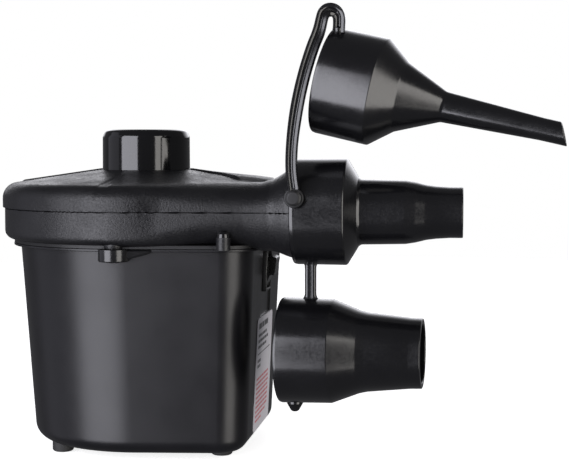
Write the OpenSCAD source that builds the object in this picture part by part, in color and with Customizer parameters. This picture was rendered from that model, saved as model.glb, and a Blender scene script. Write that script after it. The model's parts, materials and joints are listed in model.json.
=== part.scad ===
// Hand-held electric air mattress pump with a tethered set of three nozzles.
// +Z up, feet on the plane Z = 0, fan axis on the Z axis, air outlet along +X.

/* [Pump head] */
// Outer radius of the upper shell of the pump head
head_r = 49.5; // [48.5:0.5:50.5]
// Height of the joint between the two head shells
parting_z = 82.4; // [82:0.2:83]
// Underside of the pump head
head_bottom_z = 70.5; // [70:0.5:71]
// Wall thickness of the moulded head and case
wall = 2; // [1.8:0.1:2.2]
// Height of the raised roof over the far half of the air channel
roof_step = 1; // [0.6:0.1:1.2]

/* [Ports] */
// Outer radius of the inlet collar and of the outlet spigot
port_r = 15; // [14.8:0.1:15]
// Inner radius of the inlet collar
port_bore_r = 12.8; // [12.4:0.1:13]
// Top of the inlet collar
collar_top_z = 109.1; // [106:0.1:112]
// Sideways offset of the outlet axis from the fan axis
outlet_offset = 33; // [32.5:0.5:33.5]
// Outer radius of the outlet neck
neck_r = 12.7; // [12.4:0.1:12.8]
// Height of the flattened top of the neck over the outlet axis
neck_rise = 9.3; // [9.1:0.1:9.6]
// Distance from the fan axis to the end of the neck
neck_end_x = 57; // [57:0.5:58]

/* [Motor case] */
// Height of the case's underside above the floor
case_bottom_z = 2.5; // [2:0.5:3]
// Radius of the round side of the case at its bottom
case_bottom_r = 38.6; // [38.2:0.2:39]
// Radius of the round side of the case at its top
case_top_r = 42.7; // [42.4:0.1:42.9]
// Distance from the fan axis to the flat front at the case's bottom
front_bottom_x = 40; // [39.6:0.2:40.4]
// Distance from the fan axis to the flat front at the case's top
front_top_x = 43; // [42.6:0.2:43.2]

/* [Motor and fan] */
// Radius of the motor can
can_r = 18; // [17.5:0.1:18.2]
// Radius of the motor shaft
shaft_r = 1.585; // [1.5:0.005:1.59]
// Outer radius of the impeller
impeller_r = 33.5; // [31:0.5:34]
// Number of impeller blades
blade_count = 7; // [5:1:9]

/* [Nozzles] */
// Radius of the socket in every nozzle
socket_r = 15.1; // [15.1:0.01:15.15]
// Outer radius of every nozzle sleeve
sleeve_r = 17; // [16.8:0.1:17.2]
// Outer radius at the tip of the medium nozzle
medium_tip_r = 8.05; // [7.8:0.05:8.3]
// Outer radius at the tip of the large nozzle
large_tip_r = 11.2; // [10.8:0.1:11.6]
// Outer radius at the tip of the small nozzle
small_tip_r = 3.5; // [3.3:0.05:3.7]
// Turn of the hanging large nozzle towards -Y
large_yaw = 3; // [2:0.5:4]
// Downward slope of the raised small nozzle
small_pitch = 13; // [12.5:0.1:13.5]
// Turn of the raised small nozzle towards -Y
small_yaw = 6.3; // [6:0.1:6.8]

/* [Switch] */
// Height of the rocker's pivot
rocker_z = 60.7; // [60.5:0.1:60.9]
// Tilt of the rocker from its middle position
rocker_tilt = 12; // [11:0.5:12]

/* [Hidden] */
$fn = 96;
hull_fn = 48;
cut = 1;

// Head
lower_r = head_r - 0.7;
outlet_y = -outlet_offset;
shoulder_r = 4.5;
shoulder_a = 82;
shoulder_c = [head_r - shoulder_r, parting_z + 4];
dome_edge = shoulder_c + shoulder_r * [cos(shoulder_a), sin(shoulder_a)];
dome_top_z = 95.3;
dome_slope = (dome_top_z - dome_edge[1]) / (dome_edge[0] - port_r);
spigot_bore_r = 12.8;
spigot_end_x = neck_end_x + 16.3;
blend_start_x = 4;
blend_end_x = 40.5;
neck_start_x = blend_end_x - 0.5;
floor_top_z = head_bottom_z + wall;
ear_r = 5;
ear_y = 44.5;
ear_bottom_z = 66.5;
pillar_ring_r = 37.8;
pillar_angles = [30, 120, 210];
pillar_r = 2.8;
pip = [35.5, -44, 2.3];

// Case
case_top_z = head_bottom_z - 2;
case_flange = 2.4;
corner_bottom = [30, 25.5, front_bottom_x - 30];
corner_top = [32, 29, front_top_x - 32];
bottom_fillet = 5;
panel_depth = 0.6;
face_tilt = atan((front_top_x - front_bottom_x) / (case_top_z - case_bottom_z));
foot_places = [[-24, 22.8], [-24, -22.8], [30.5, 20.8], [30.5, -20.8]];
foot_r = 3.6;
gland_z = 15;
gland_bore_r = 3.2;
label_z = [6.2, 45];
label_half_w = 16.4;

// Motor
can_top_z = head_bottom_z - 0.2;
can_bottom_z = 14;
can_wall = 1.3;
motor_screw_x = 12.5;
bush_r = 3.5;
running_gap = 0.02;
seat_gap = 0.01;
core_z = [30, 58];
core_r = 12.6;
slot_ring_r = 8.4;
commutator_z = [16.5, 23.5];
commutator_r = 4.6;
fan_z = 75;

// Nozzles
medium_x = neck_end_x;
large_x = 52.7;
large_z = 37.6;
small_origin = [66.6, -34, 124.3];
strap_foot_turn = 20;
small_tip_z = 76.85;
peg = [59, -50, 87.4];
lower_pivot = [62, -33, 64];

// ---------- shared shapes ----------

function arc(c, r, a0, a1, n) = [for (i = [0:n])
    let (a = a0 + (a1 - a0) * i / n)
        c + r * [cos(a), sin(a)]];

function mix(a, b, t) = a + (b - a) * t;

// Points of a smooth S from one radius to another, as [radius, height]
function s_curve(r0, z0, r1, z1, n) = [for (i = [1:n - 1])
    [mix(r0, r1, (1 - cos(180 * i / n)) / 2), mix(z0, z1, i / n)]];

module spin(points) {
    rotate_extrude()
        polygon(points);
}

module ring(r_out, r_in, h) {
    difference() {
        cylinder(r = r_out, h = h);
        translate([0, 0, -cut])
            cylinder(r = r_in, h = h + 2 * cut);
    }
}

// Local +Z turned to +X, on the outlet axis
module on_outlet(x = 0) {
    translate([x, outlet_y, parting_z])
        rotate([0, 90, 0])
            children();
}

module block(low, high) {
    translate(low)
        cube(high - low);
}

// A rounded plate in the XY plane
module rounded_plate(w, h, r, t) {
    linear_extrude(t)
        union() {
            square([w - 2 * r, h], center = true);
            square([w, h - 2 * r], center = true);
            for (sx = [-1, 1], sy = [-1, 1])
                translate([sx * (w / 2 - r), sy * (h / 2 - r)])
                    circle(r = r);
        }
}

function bezier_point(a, b, c, t) = a * pow(1 - t, 2) + b * 2 * t * (1 - t) + c * t * t;

// A route smoothed by quadratic curves through the middles of its spans
function smooth(route, steps) = concat([route[0]],
    [for (i = [1:len(route) - 2], k = [0:steps - 1])
        bezier_point((route[i - 1] + route[i]) / 2, route[i], (route[i] + route[i + 1]) / 2, k / steps)],
    [(route[len(route) - 2] + route[len(route) - 1]) / 2, route[len(route) - 1]]);

function unit(v) = v / norm(v);

// A closed skin over outlines that have the same number of points
module loft(outlines) {
    last = len(outlines) - 1;
    n = len(outlines[0]);
    walls = [for (i = [0:last - 1], j = [0:n - 1], half = [0, 1])
        let (a = i * n + j, b = i * n + (j + 1) % n)
            half == 0 ? [a, b, b + n] : [a, b + n, a + n]];
    polyhedron(points = [for (o = outlines) each o], faces = concat(
        walls,
        [[for (j = [0:n - 1]) n - 1 - j]],
        [[for (j = [0:n - 1]) last * n + j]]));
}

// An oval tube swept along a line of points; side is never along the line.
// half_w is the half width across side at each point, half_t the half thickness.
module tube(line, half_w, half_t, sides, side) {
    last = len(line) - 1;
    tangents = [for (i = [0:last]) unit(line[min(i + 1, last)] - line[max(i - 1, 0)])];
    loft([for (i = [0:last])
        let (u = unit(cross(tangents[i], side)), v = cross(tangents[i], u))
            [for (j = [0:sides - 1])
                line[i] + half_w[i] * u * cos(360 * j / sides) - half_t * v * sin(360 * j / sides)]]);
}

// The same half width at every point of a line
function even(line, r) = [for (p = line) r];

function front_x(z) = mix(front_bottom_x, front_top_x, (z - case_bottom_z) / (case_top_z - case_bottom_z));

// Frame on the tilted flat front, local +X pointing out of the case
module on_front(z) {
    translate([front_x(z), 0, z])
        rotate([0, face_tilt, 0])
            children();
}

// ---------- head ----------

// Roof outline from the parting line to the axis, moved inwards by t
function roof(t) = concat(
    [[head_r - t, parting_z - cut]],
    arc(shoulder_c, shoulder_r - t, 0, shoulder_a, 8),
    [[port_r, dome_top_z - t], [0, dome_top_z - t]]);

function bowl(t) = concat(
    [[0, head_bottom_z + t]],
    arc([lower_r - 3.5, head_bottom_z + 3.5], 3.5 - min(t, 3), -90, 0, 6),
    [[lower_r - t, parting_z + cut]]);

// Slice of the air channel where it leaves the round head
module channel_start(t) {
    y = -lower_r + 0.5 + t;
    top = parting_z + 7.6;
    translate([blend_start_x, 0, 0])
        rotate([90, 0, 90])
            linear_extrude(0.5)
                polygon(concat(
                    [[-20 - t, head_bottom_z + 0.4 + t]],
                    arc([y + 3, head_bottom_z + 3.4 + t], 3, 270, 180, 4),
                    arc([y + 4, top - 4 - t], 4, 180, 95, 5),
                    [[-33, 91.6 - t], [-20 - t, 92.6 - t]]));
}

// Outline of the neck: a circle whose upper half is flattened to the height rise
function neck_outline(r, rise) = [for (a = [0:7.5:352.5])
    [outlet_y + r * cos(a), parting_z + (a < 180 ? rise : r) * sin(a)]];

module channel(t) {
    hull() {
        channel_start(t);
        translate([blend_end_x, 0, 0])
            rotate([90, 0, 90])
                linear_extrude(0.5)
                    polygon(neck_outline(neck_r - 0.5 - t, neck_rise - 0.5 - t));
    }
}

// Round neck that opens to the spigot, moved inwards by t
module neck_round(t) {
    spin(concat(
        [[0, neck_start_x], [neck_r - t, neck_start_x], [neck_r - t, neck_end_x - 8]],
        s_curve(neck_r - t, neck_end_x - 8, port_r - t, neck_end_x, 6),
        [[port_r - t, neck_end_x], [0, neck_end_x]]));
}

// Block over the flattened top of the neck, moved inwards by t
module neck_trim(t) {
    z = parting_z - t;
    x = neck_end_x;
    translate([0, outlet_y + 20, 0])
        rotate([90, 0, 0])
            linear_extrude(40)
                polygon([
                    [neck_start_x - 1, z + neck_rise], [x - 9, z + neck_rise + 0.3], [x - 7, z + 10.3],
                    [x - 5.5, z + 11.2], [x - 4, z + 12.1], [x - 3, z + 12.8], [x - 1.5, z + 13.9],
                    [x, z + 15.2], [x + 1, z + 16], [x + 1, z + 25], [neck_start_x - 1, z + 25]]);
}

module neck_outside() {
    union() {
        difference() {
            on_outlet()
                neck_round(0);
            neck_trim(0);
        }
        on_outlet()
            spin([
                [0, neck_end_x], [port_r, neck_end_x], [port_r, spigot_end_x - 0.8],
                [port_r - 0.8, spigot_end_x], [0, spigot_end_x]]);
    }
}

module neck_inside() {
    union() {
        difference() {
            on_outlet()
                neck_round(wall + 0.2);
            neck_trim(wall + 0.2);
        }
        on_outlet(neck_end_x)
            cylinder(r = spigot_bore_r, h = spigot_end_x - neck_end_x + cut);
    }
}

module above_parting() {
    block([-60, -60, parting_z], [90, 60, 120]);
}

module below_parting() {
    block([-60, -60, 40], [90, 60, parting_z]);
}

// Raised roof over the far half of the scroll, on top of the dome
module roof_ramp() {
    inner = port_r + 0.9;
    outer = dome_edge[0] - 0.5;
    inner_z = dome_top_z - dome_slope * (inner - port_r);
    outer_z = dome_top_z - dome_slope * (outer - port_r);
    rotate([0, 0, -32])
        rotate_extrude(angle = 212)
            polygon([
                [inner, inner_z - 1], [outer, outer_z - 1], [outer, outer_z + 0.2],
                [outer - 2, outer_z + 0.2 + roof_step], [inner, inner_z + roof_step]]);
}

module pillars(r, z0, z1) {
    for (a = pillar_angles)
        rotate([0, 0, a])
            translate([pillar_ring_r, 0, z0])
                cylinder(r = r, h = z1 - z0, $fn = 48);
}

module upper_shell() {
    color([0.07, 0.07, 0.08])
        difference() {
            union() {
                difference() {
                    intersection() {
                        union() {
                            spin(concat(roof(0), [[0, parting_z - cut]]));
                            roof_ramp();
                            channel(0);
                            neck_outside();
                        }
                        above_parting();
                    }
                    spin(concat(roof(wall), [[0, parting_z - cut]]));
                    channel(wall);
                    neck_inside();
                }
                pillars(pillar_r, parting_z, dome_edge[1] - 0.5);
            }
            translate([0, 0, parting_z])
                cylinder(r = port_r + 0.1, h = 20);
            pillars(1.3, parting_z - cut, dome_edge[1] - 3);
        }
}

// Outline of the case, as a thin slice at height z, grown by g
module case_slice(z, g, t) {
    s = (z - case_bottom_z) / (case_top_z - case_bottom_z);
    corner = mix(corner_bottom, corner_top, s);
    translate([0, 0, z]) {
        translate([-0.6 * s, 0, 0])
            cylinder(r = mix(case_bottom_r, case_top_r, s) + g, h = t, $fn = 2 * hull_fn);
        for (side = [-1, 1])
            translate([corner[0], side * corner[1], 0])
                cylinder(r = corner[2] + g, h = t, $fn = hull_fn);
    }
}

module closing_plate() {
    hull()
        case_slice(head_bottom_z, case_flange, 1.6);
}

module lower_shell() {
    color([0.07, 0.07, 0.08])
        difference() {
            union() {
                difference() {
                    intersection() {
                        union() {
                            spin(concat(bowl(0), [[0, parting_z + cut]]));
                            channel(0);
                            neck_outside();
                        }
                        below_parting();
                    }
                    spin(concat(bowl(wall), [[0, parting_z + cut]]));
                    channel(wall);
                    neck_inside();
                }
                difference() {
                    closing_plate();
                    neck_inside();
                    channel(wall);
                    translate([0, 0, floor_top_z - 0.5])
                        cylinder(r = lower_r - wall, h = 5);
                }
                pillars(pillar_r, head_bottom_z, parting_z);
                for (side = [-1, 1])
                    translate([0, side * ear_y, head_bottom_z])
                        cylinder(r = pillar_r, h = 8.6, $fn = 48);
                difference() {
                    translate([pip[0], pip[1], head_bottom_z])
                        cylinder(r = pip[2], h = 4, $fn = 48);
                    neck_inside();
                }
                translate([pip[0], pip[1], head_bottom_z + 4])
                    sphere(r = pip[2], $fn = 48);
            }
            pillars(1.7, head_bottom_z - cut, parting_z + cut);
            translate([0, 0, head_bottom_z - cut])
                cylinder(r = 6.7, h = 5);
            for (side = [-1, 1]) {
                translate([side * motor_screw_x, 0, head_bottom_z - cut])
                    cylinder(r = 1.7, h = 5, $fn = 48);
                translate([0, side * ear_y, head_bottom_z - cut])
                    cylinder(r = 1.3, h = 8, $fn = 48);
            }
        }
}

module inlet_collar() {
    color([0.03, 0.03, 0.035])
        spin(concat(
            [[port_bore_r, 91.2], [port_r + 1.6, 91.2], [port_r + 1.6, 92.8], [port_r, 92.8],
             [port_r, 95.5], [port_r + 0.5, 95.5], [port_r + 0.5, 95.9], [port_r, 96.6]],
            arc([port_r - 1.7, collar_top_z - 1.7], 1.7, 0, 90, 6),
            [[port_bore_r + 0.3, collar_top_z], [port_bore_r, collar_top_z - 0.4]]));
}

module inlet_grille() {
    h = 1.6;
    z = 93.6;
    color([0.03, 0.03, 0.035])
        translate([0, 0, z])
            union() {
                ring(port_bore_r - 0.05, port_bore_r - 1.2, h);
                ring(8.4, 7.4, h);
                ring(3.6, 1.2, h);
                for (a = [0:60:300])
                    rotate([0, 0, a])
                        block([3.2, -0.6, 0], [port_bore_r - 0.8, 0.6, h]);
            }
}

// ---------- case ----------

module case_outside(g = 0) {
    hull() {
        case_slice(case_bottom_z - g, g - bottom_fillet, 0.1);
        for (a = [20, 45, 70])
            case_slice(case_bottom_z - g + bottom_fillet * (1 - cos(a)), g - bottom_fillet * (1 - sin(a)), 0.1);
        case_slice(case_bottom_z - g + bottom_fillet, g, 0.1);
        case_slice(head_bottom_z - 0.1, g, 0.1);
    }
}

// A screw ear under the edge of the head, with the web that braces it
module case_ear(side) {
    union() {
        translate([0, side * ear_y, ear_bottom_z])
            cylinder(r = ear_r, h = head_bottom_z - ear_bottom_z, $fn = 64);
        translate([0, side * (ear_y - 1), head_bottom_z])
            rotate([side * 90, 0, 0])
                translate([0, 0, -3])
                    linear_extrude(5)
                        polygon([[3, 0], [11.6, 0], [11.6, -1.8], [3, -3.6]]);
    }
}

// Clearance hole and head recess of the screw in an ear
module ear_hole(side) {
    translate([0, side * ear_y, ear_bottom_z - cut]) {
        cylinder(r = 1.7, h = 8, $fn = 48);
        cylinder(r = 2.9, h = cut + 1.2, $fn = 48);
    }
}

module case_inside() {
    difference() {
        case_outside(-wall);
        for (p = foot_places)
            translate([p[0], p[1], 0])
                cylinder(r = foot_r + 1.6, h = 6.3, $fn = 48);
        for (side = [-1, 1])
            difference() {
                block([-31.6, side * 19.4 - 1.6, 0], [-26.6, side * 19.4 + 1.6, 48]);
                block([-29.6, side * 18.4 - 1, 0], [-27.7, side * 18.4 + 1, 50]);
            }
    }
}

module motor_case() {
    color([0.09, 0.09, 0.11])
        difference() {
            union() {
                case_outside();
                hull()
                    case_slice(case_top_z, case_flange, head_bottom_z - case_top_z);
                for (side = [-1, 1])
                    case_ear(side);
            }
            case_inside();
            for (side = [-1, 1])
                ear_hole(side);
            block([-80, -80, head_bottom_z - 0.02], [80, 80, 90]);
            on_outlet(20)
                cylinder(r = port_r + 0.3, h = 50);
            on_front(rocker_z) {
                block([-panel_depth, -10.6, -15.5], [5, 10.6, 7.7]);
                block([-6, -5.1, -6.9], [5, 5.1, 7.2]);
            }
            for (p = foot_places)
                translate([p[0], p[1], 0])
                    cylinder(r = foot_r + 0.05, h = 4.4, $fn = 64);
            translate([0, 20, gland_z])
                rotate([-90, 0, 0])
                    cylinder(r = 4.6, h = 40, $fn = 64);
            for (x = [-16:8:16])
                block([x - 1.3, -13, 0], [x + 1.3, 13, 6]);
        }
}

module rubber_feet() {
    color([0.05, 0.05, 0.05])
        for (p = foot_places)
            translate([p[0], p[1], 0])
                spin([[0, 0], [foot_r - 0.8, 0], [foot_r, 0.8], [foot_r, 4.3], [0, 4.3]]);
}

module pan_screw(shank_r, length) {
    union() {
        spin(concat([[0, -1.7]], arc([2.6 - 1.2, -0.5], 1.2, -90, 0, 4), [[2.6, 0], [0, 0]]));
        cylinder(r = shank_r, h = length, $fn = 48);
    }
}

// Screw with its head downwards and a cross recess
module screw_up(shank_r, length) {
    difference() {
        pan_screw(shank_r, length);
        block([-1.5, -0.3, -2.5], [1.5, 0.3, -0.9]);
        block([-0.3, -1.5, -2.5], [0.3, 1.5, -0.9]);
    }
}

module case_screws() {
    color([0.6, 0.6, 0.62])
        for (side = [-1, 1])
            translate([0, side * ear_y, ear_bottom_z + 1.2])
                screw_up(1.25, 9.6);
}

module shell_screws() {
    color([0.6, 0.6, 0.62])
        for (a = pillar_angles)
            rotate([0, 0, a])
                translate([pillar_ring_r, 0, head_bottom_z])
                    screw_up(1.25, 16.5);
}

module label_plate() {
    mid = (label_z[0] + label_z[1]) / 2;
    color([0.93, 0.93, 0.94])
        on_front(mid)
            translate([0.04, 0, 0])
                rotate([90, 0, 90])
                    rounded_plate(2 * label_half_w, label_z[1] - label_z[0], 1.6, 0.2);
}

module cord_gland() {
    wall_y = mix(case_bottom_r, case_top_r, (gland_z - case_bottom_z) / 66);
    color([0.05, 0.05, 0.05])
        translate([0, wall_y, gland_z])
            rotate([-90, 0, 0])
                spin([
                    [gland_bore_r, -5.6], [5.6, -5.6], [5.8, -3.4], [4.5, -3.4], [4.5, 0.6],
                    [6.2, 0.6], [6.2, 1.8], [5.4, 2.6], [gland_bore_r, 2.6]]);
}

// ---------- switch ----------

module switch_body() {
    color([0.16, 0.16, 0.17])
        on_front(rocker_z)
            difference() {
                union() {
                    block([-11, -5, -6.8], [0.4, 5, 7.1]);
                    block([0.02 - panel_depth, -5.8, -7.3], [0.9, 5.8, 7.6]);
                }
                block([-7.5, -4.3, -6.4], [cut + 1, 4.3, 6.7]);
                translate([-1.6, -8, 0])
                    rotate([-90, 0, 0])
                        cylinder(r = 1.05, h = 16, $fn = 48);
            }
}

module switch_terminals() {
    color([0.8, 0.65, 0.3])
        on_front(rocker_z)
            for (z = [-4.5, 0, 4.5])
                block([-17.5, -1.6, z - 0.4], [-11.02, 1.6, z + 0.4]);
}

module switch_rocker() {
    color([0.04, 0.04, 0.045])
        on_front(rocker_z)
            translate([-1.6, 0, 0])
                rotate([0, rocker_tilt, 0])
                    union() {
                        translate([0, 4.1, 0])
                            rotate([90, 0, 0])
                                linear_extrude(8.2)
                                    polygon([
                                        [-2.4, -3], [2.6, -5.6], [3.6, -0.9], [5, -0.9],
                                        [4.5, 5.2], [4.1, 5.6], [2.6, 5.6], [-2.4, 3]]);
                        translate([0, -4.9, 0])
                            rotate([-90, 0, 0])
                                cylinder(r = 1, h = 9.8, $fn = 48);
                    }
}

// ---------- motor ----------

module motor_can() {
    color([0.62, 0.63, 0.65])
        difference() {
            union() {
                translate([0, 0, can_bottom_z])
                    cylinder(r = can_r, h = can_top_z - can_bottom_z);
                translate([0, 0, can_top_z - cut])
                    cylinder(r = 6.4, h = cut + 2.7);
            }
            translate([0, 0, can_bottom_z - cut])
                cylinder(r = can_r - can_wall, h = can_top_z - can_bottom_z - can_wall + cut);
            cylinder(r = bush_r + seat_gap, h = 90);
            for (side = [-1, 1]) {
                translate([side * motor_screw_x, 0, can_top_z - 5])
                    cylinder(r = 1.5, h = 8, $fn = 48);
                rotate([0, 0, 90 * side])
                    translate([9, 0, can_top_z - 3])
                        cylinder(r = 1.6, h = 5, $fn = 48);
            }
        }
}

module motor_magnets() {
    color([0.2, 0.2, 0.21])
        for (side = [0, 180])
            rotate([0, 0, side - 62])
                rotate_extrude(angle = 124)
                    translate([13.3, 24])
                        square([can_r - can_wall - 0.1 - 13.3, 40]);
}

module bush(z0, z1, r) {
    translate([0, 0, z0])
        ring(r, shaft_r + running_gap, z1 - z0);
}

module front_bush() {
    color([0.72, 0.5, 0.28])
        bush(can_top_z - 2.4, can_top_z + 2.7, bush_r);
}

module rear_bush() {
    color([0.72, 0.5, 0.28])
        bush(9.4, 13.9, 3);
}

module rear_cap() {
    plug_r = can_r - can_wall - 0.05;
    color([0.85, 0.84, 0.8])
        difference() {
            union() {
                translate([0, 0, 11])
                    cylinder(r = can_r, h = 3);
                translate([0, 0, 13])
                    cylinder(r = plug_r, h = 9.4);
                translate([0, 0, 8.2])
                    cylinder(r = 4.6, h = 4);
            }
            difference() {
                translate([0, 0, 14])
                    cylinder(r = plug_r - 1.6, h = 20);
                for (side = [-1, 1])
                    block([side * 11.4 - 5.6, -3.2, 13], [side * 11.4 + 5.6, 3.2, 22.4]);
            }
            for (side = [-1, 1])
                block([side * 9.6 - 5, -1.7, 17.9], [side * 9.6 + 5, 1.7, 24]);
            translate([0, 0, 9.4])
                cylinder(r = 3 + seat_gap, h = 10);
        }
}

module carbon_brushes() {
    color([0.12, 0.12, 0.12])
        for (side = [0, 180])
            rotate([0, 0, side])
                block([commutator_r + 0.02, -1.6, 18], [9, 1.6, 21.5]);
}

module brush_springs() {
    turns = 4;
    steps = 8;
    coil = [for (i = [0:turns * steps])
        [9.35 + 4.9 * i / (turns * steps), 1.05 * cos(360 * i / steps), 19.7 + 1.05 * sin(360 * i / steps)]];
    color([0.75, 0.75, 0.77])
        for (side = [0, 180])
            rotate([0, 0, side])
                tube(coil, even(coil, 0.25), 0.25, 6, [1, 0, 0]);
}

module motor_screws() {
    color([0.7, 0.7, 0.72])
        for (side = [-1, 1])
            translate([side * motor_screw_x, 0, floor_top_z])
                mirror([0, 0, 1])
                    screw_up(1.4, 5.2);
}

module motor_damper() {
    color([0.06, 0.06, 0.06])
        difference() {
            spin([
                [11, 4.6], [20.4, 4.6], [20.4, 17], [can_r + 0.1, 17],
                [can_r + 0.1, 10.9], [11, 10.9]]);
            block([-30, -4, 0], [-6, 4, 30]);
        }
}

module motor_shaft() {
    color([0.78, 0.79, 0.8])
        translate([0, 0, 9.6])
            cylinder(r = shaft_r, h = 78.4);
}

module armature_core() {
    color([0.45, 0.46, 0.48])
        translate([0, 0, core_z[0]])
            difference() {
                cylinder(r = core_r, h = core_z[1] - core_z[0]);
                translate([0, 0, -cut])
                    cylinder(r = shaft_r + seat_gap, h = 40);
                for (a = [0:72:288])
                    rotate([0, 0, a]) {
                        translate([slot_ring_r, 0, -cut])
                            cylinder(r = 2.8, h = 40, $fn = 48);
                        block([slot_ring_r, -0.8, -cut], [core_r + cut, 0.8, 40]);
                    }
            }
}

module armature_windings() {
    color([0.72, 0.32, 0.12])
        union() {
            for (a = [0:72:288])
                rotate([0, 0, a])
                    translate([slot_ring_r, 0, core_z[0] - 2])
                        cylinder(r = 2.7, h = core_z[1] - core_z[0] + 4, $fn = 48);
            for (z = [core_z[0] - 2.8, core_z[1] + 2.8])
                translate([0, 0, z])
                    rotate_extrude()
                        translate([7.4, 0])
                            scale([1.5, 1])
                                circle(r = 2.6, $fn = 48);
        }
}

module commutator() {
    color([0.75, 0.45, 0.2])
        translate([0, 0, commutator_z[0]])
            difference() {
                cylinder(r = commutator_r, h = commutator_z[1] - commutator_z[0]);
                translate([0, 0, -cut])
                    cylinder(r = shaft_r + seat_gap, h = 20);
                for (a = [12:24:348])
                    rotate([0, 0, a])
                        block([commutator_r - 0.5, -0.15, -cut], [commutator_r + cut, 0.15, 5.5]);
            }
}

module impeller_blade(r0, r1, lag, bend_r, t, h) {
    p0 = [r0, 0];
    p1 = r1 * [cos(lag), -sin(lag)];
    chord = p1 - p0;
    half = norm(chord) / 2;
    normal = [chord[1], -chord[0]] / (2 * half);
    centre = (p0 + p1) / 2 + normal * sqrt(bend_r * bend_r - half * half);
    a0 = atan2(p1[1] - centre[1], p1[0] - centre[0]);
    a1 = atan2(p0[1] - centre[1], p0[0] - centre[0]);
    translate([centre[0], centre[1], 0])
        rotate([0, 0, a0])
            rotate_extrude(angle = a1 - a0)
                translate([bend_r - t / 2, 0])
                    square([t, h]);
}

module impeller() {
    color([0.9, 0.9, 0.88])
        difference() {
            translate([0, 0, fan_z])
                union() {
                    cylinder(r = impeller_r, h = 1.6);
                    spin([[0, 0], [8.4, 0], [8.4, 1.6], [5.6, 4], [5.2, 9], [0, 9]]);
                    for (i = [0:blade_count - 1])
                        rotate([0, 0, i * 360 / blade_count])
                            translate([0, 0, 1])
                                impeller_blade(9.5, impeller_r - 0.3, 50, 24, 1.2, 10);
                }
            cylinder(r = 3 + seat_gap, h = 100);
        }
}

module impeller_bush() {
    color([0.78, 0.62, 0.25])
        translate([0, 0, fan_z])
            ring(3, shaft_r + seat_gap, 9.2);
}

module impeller_nut() {
    color([0.7, 0.7, 0.72])
        translate([0, 0, fan_z + 9.2])
            difference() {
                cylinder(r = 3.1, h = 2.4, $fn = 6);
                translate([0, 0, -cut])
                    cylinder(r = shaft_r + seat_gap, h = 5);
            }
}

// ---------- electrics ----------

module circuit_board() {
    color([0.1, 0.32, 0.14])
        block([-29.5, -18.2, 6.5], [-27.9, 18.2, 44]);
}

module bridge_rectifier() {
    color([0.06, 0.06, 0.06])
        block([-33.2, -8, 22], [-29.52, 8, 36]);
}

module capacitor() {
    color([0.1, 0.12, 0.35])
        translate([-27.88, -11, 33])
            rotate([0, 90, 0])
                spin([[0, 0], [4, 0], [4, 7.2], [3.6, 7.6], [0, 7.6]]);
}

module thermal_fuse() {
    color([0.85, 0.82, 0.7])
        translate([-19.6, -5, 56])
            rotate([-90, 0, 0])
                spin([[0, 0], [0.9, 0], [1.3, 0.6], [1.3, 9.4], [0.9, 10], [0, 10]]);
}

// Leads: gland to board, gland to switch, board to switch, board to the motor
lead_routes = [
    [[-1.6, 32, 15], [-12, 31, 17], [-21, 25, 26], [-27.1, 14, 40]],
    [[1.6, 32, 15], [12, 31, 20], [23, 22, 50], [24, 5, 57], [23.2, 0, 56.8]],
    [[-27.1, 14, 42], [-18, 24, 50], [0, 31, 58], [18, 24, 64], [23.4, 3, 65.8]],
    [[-27.1, -6, 12], [-24, -2.6, 10], [-18, -1.9, 7.8], [-10, -1.9, 7.2], [-8, -1.9, 9.9]],
    [[-27.1, 6, 12], [-24, 2.6, 10], [-18, 1.9, 7.8], [-10, 1.9, 7.2], [-8, 1.9, 9.9]]
];

module lead_wires() {
    color([0.7, 0.1, 0.08])
        for (route = lead_routes)
            let (line = smooth(route, 4))
                tube(line, even(line, 0.75), 0.75, 8, cross(route[len(route) - 1] - route[0], [0, 0, 1]));
}

// ---------- nozzles ----------

medium_outside = concat(
    [[socket_r + 0.5, 0], [sleeve_r - 0.9, 0.25], [sleeve_r, 1.2], [sleeve_r, 17.1], [sleeve_r - 0.3, 17.5]],
    [[11.2, 20.4], [10.4, 21.2], [10.1, 36.2]],
    s_curve(10.1, 36.2, 8.4, 43.7, 6),
    [[8.4, 43.7], [medium_tip_r, 49], [medium_tip_r, 53.2], [medium_tip_r - 0.3, 53.5]]);

medium_inside = [
    [6.3, 53.5], [6.3, 43.7], [8.3, 36.2], [8.7, 20.6],
    [socket_r - 0.6, 17.2], [socket_r, 16.9], [socket_r, 0]];

large_outside = concat(
    [[socket_r + 0.4, 0], [sleeve_r - 0.5, 0.15], [sleeve_r, 0.8]],
    [[sleeve_r - 0.3, 16.4], [sleeve_r - 0.6, 17.1]],
    [[13.5, 25], [12.9, 27], [large_tip_r, 42], [large_tip_r, 45.2], [large_tip_r - 0.3, 45.5]]);

large_inside = [
    [large_tip_r - 1.8, 45.5], [large_tip_r - 1.8, 42], [11.1, 26.5],
    [socket_r - 0.5, 17], [socket_r, 16.5], [socket_r, 0]];

small_outside = concat(
    [[socket_r + 0.4, 0], [sleeve_r - 0.5, 0.15], [sleeve_r, 0.8], [sleeve_r, 17.4], [sleeve_r - 0.5, 18]],
    [[11.05, 25.15], [4.9, 38.8]],
    [[small_tip_r, 70], [small_tip_r, 80]]);

small_inside = [
    [small_tip_r - 1.3, 80], [small_tip_r - 1.3, 70], [3.3, 38.8], [9.1, 25.3],
    [socket_r - 0.6, 17.4], [socket_r, 16.9], [socket_r, 0]];

module medium_nozzle() {
    color([0.04, 0.04, 0.05])
        union() {
            on_outlet(medium_x)
                spin(concat(medium_outside, medium_inside));
            translate([peg[0], 0, peg[2]])
                rotate([90, 0, 0])
                    translate([0, 0, 48.6])
                        cylinder(r = 1.4, h = 3.8, $fn = 48);
            translate([peg[0], -52.3, peg[2]])
                rotate([90, 0, 0])
                    spin([[0, 0], [2.1, 0], [2.1, 0.4], [1.5, 1], [0, 1]]);
        }
}

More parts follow.
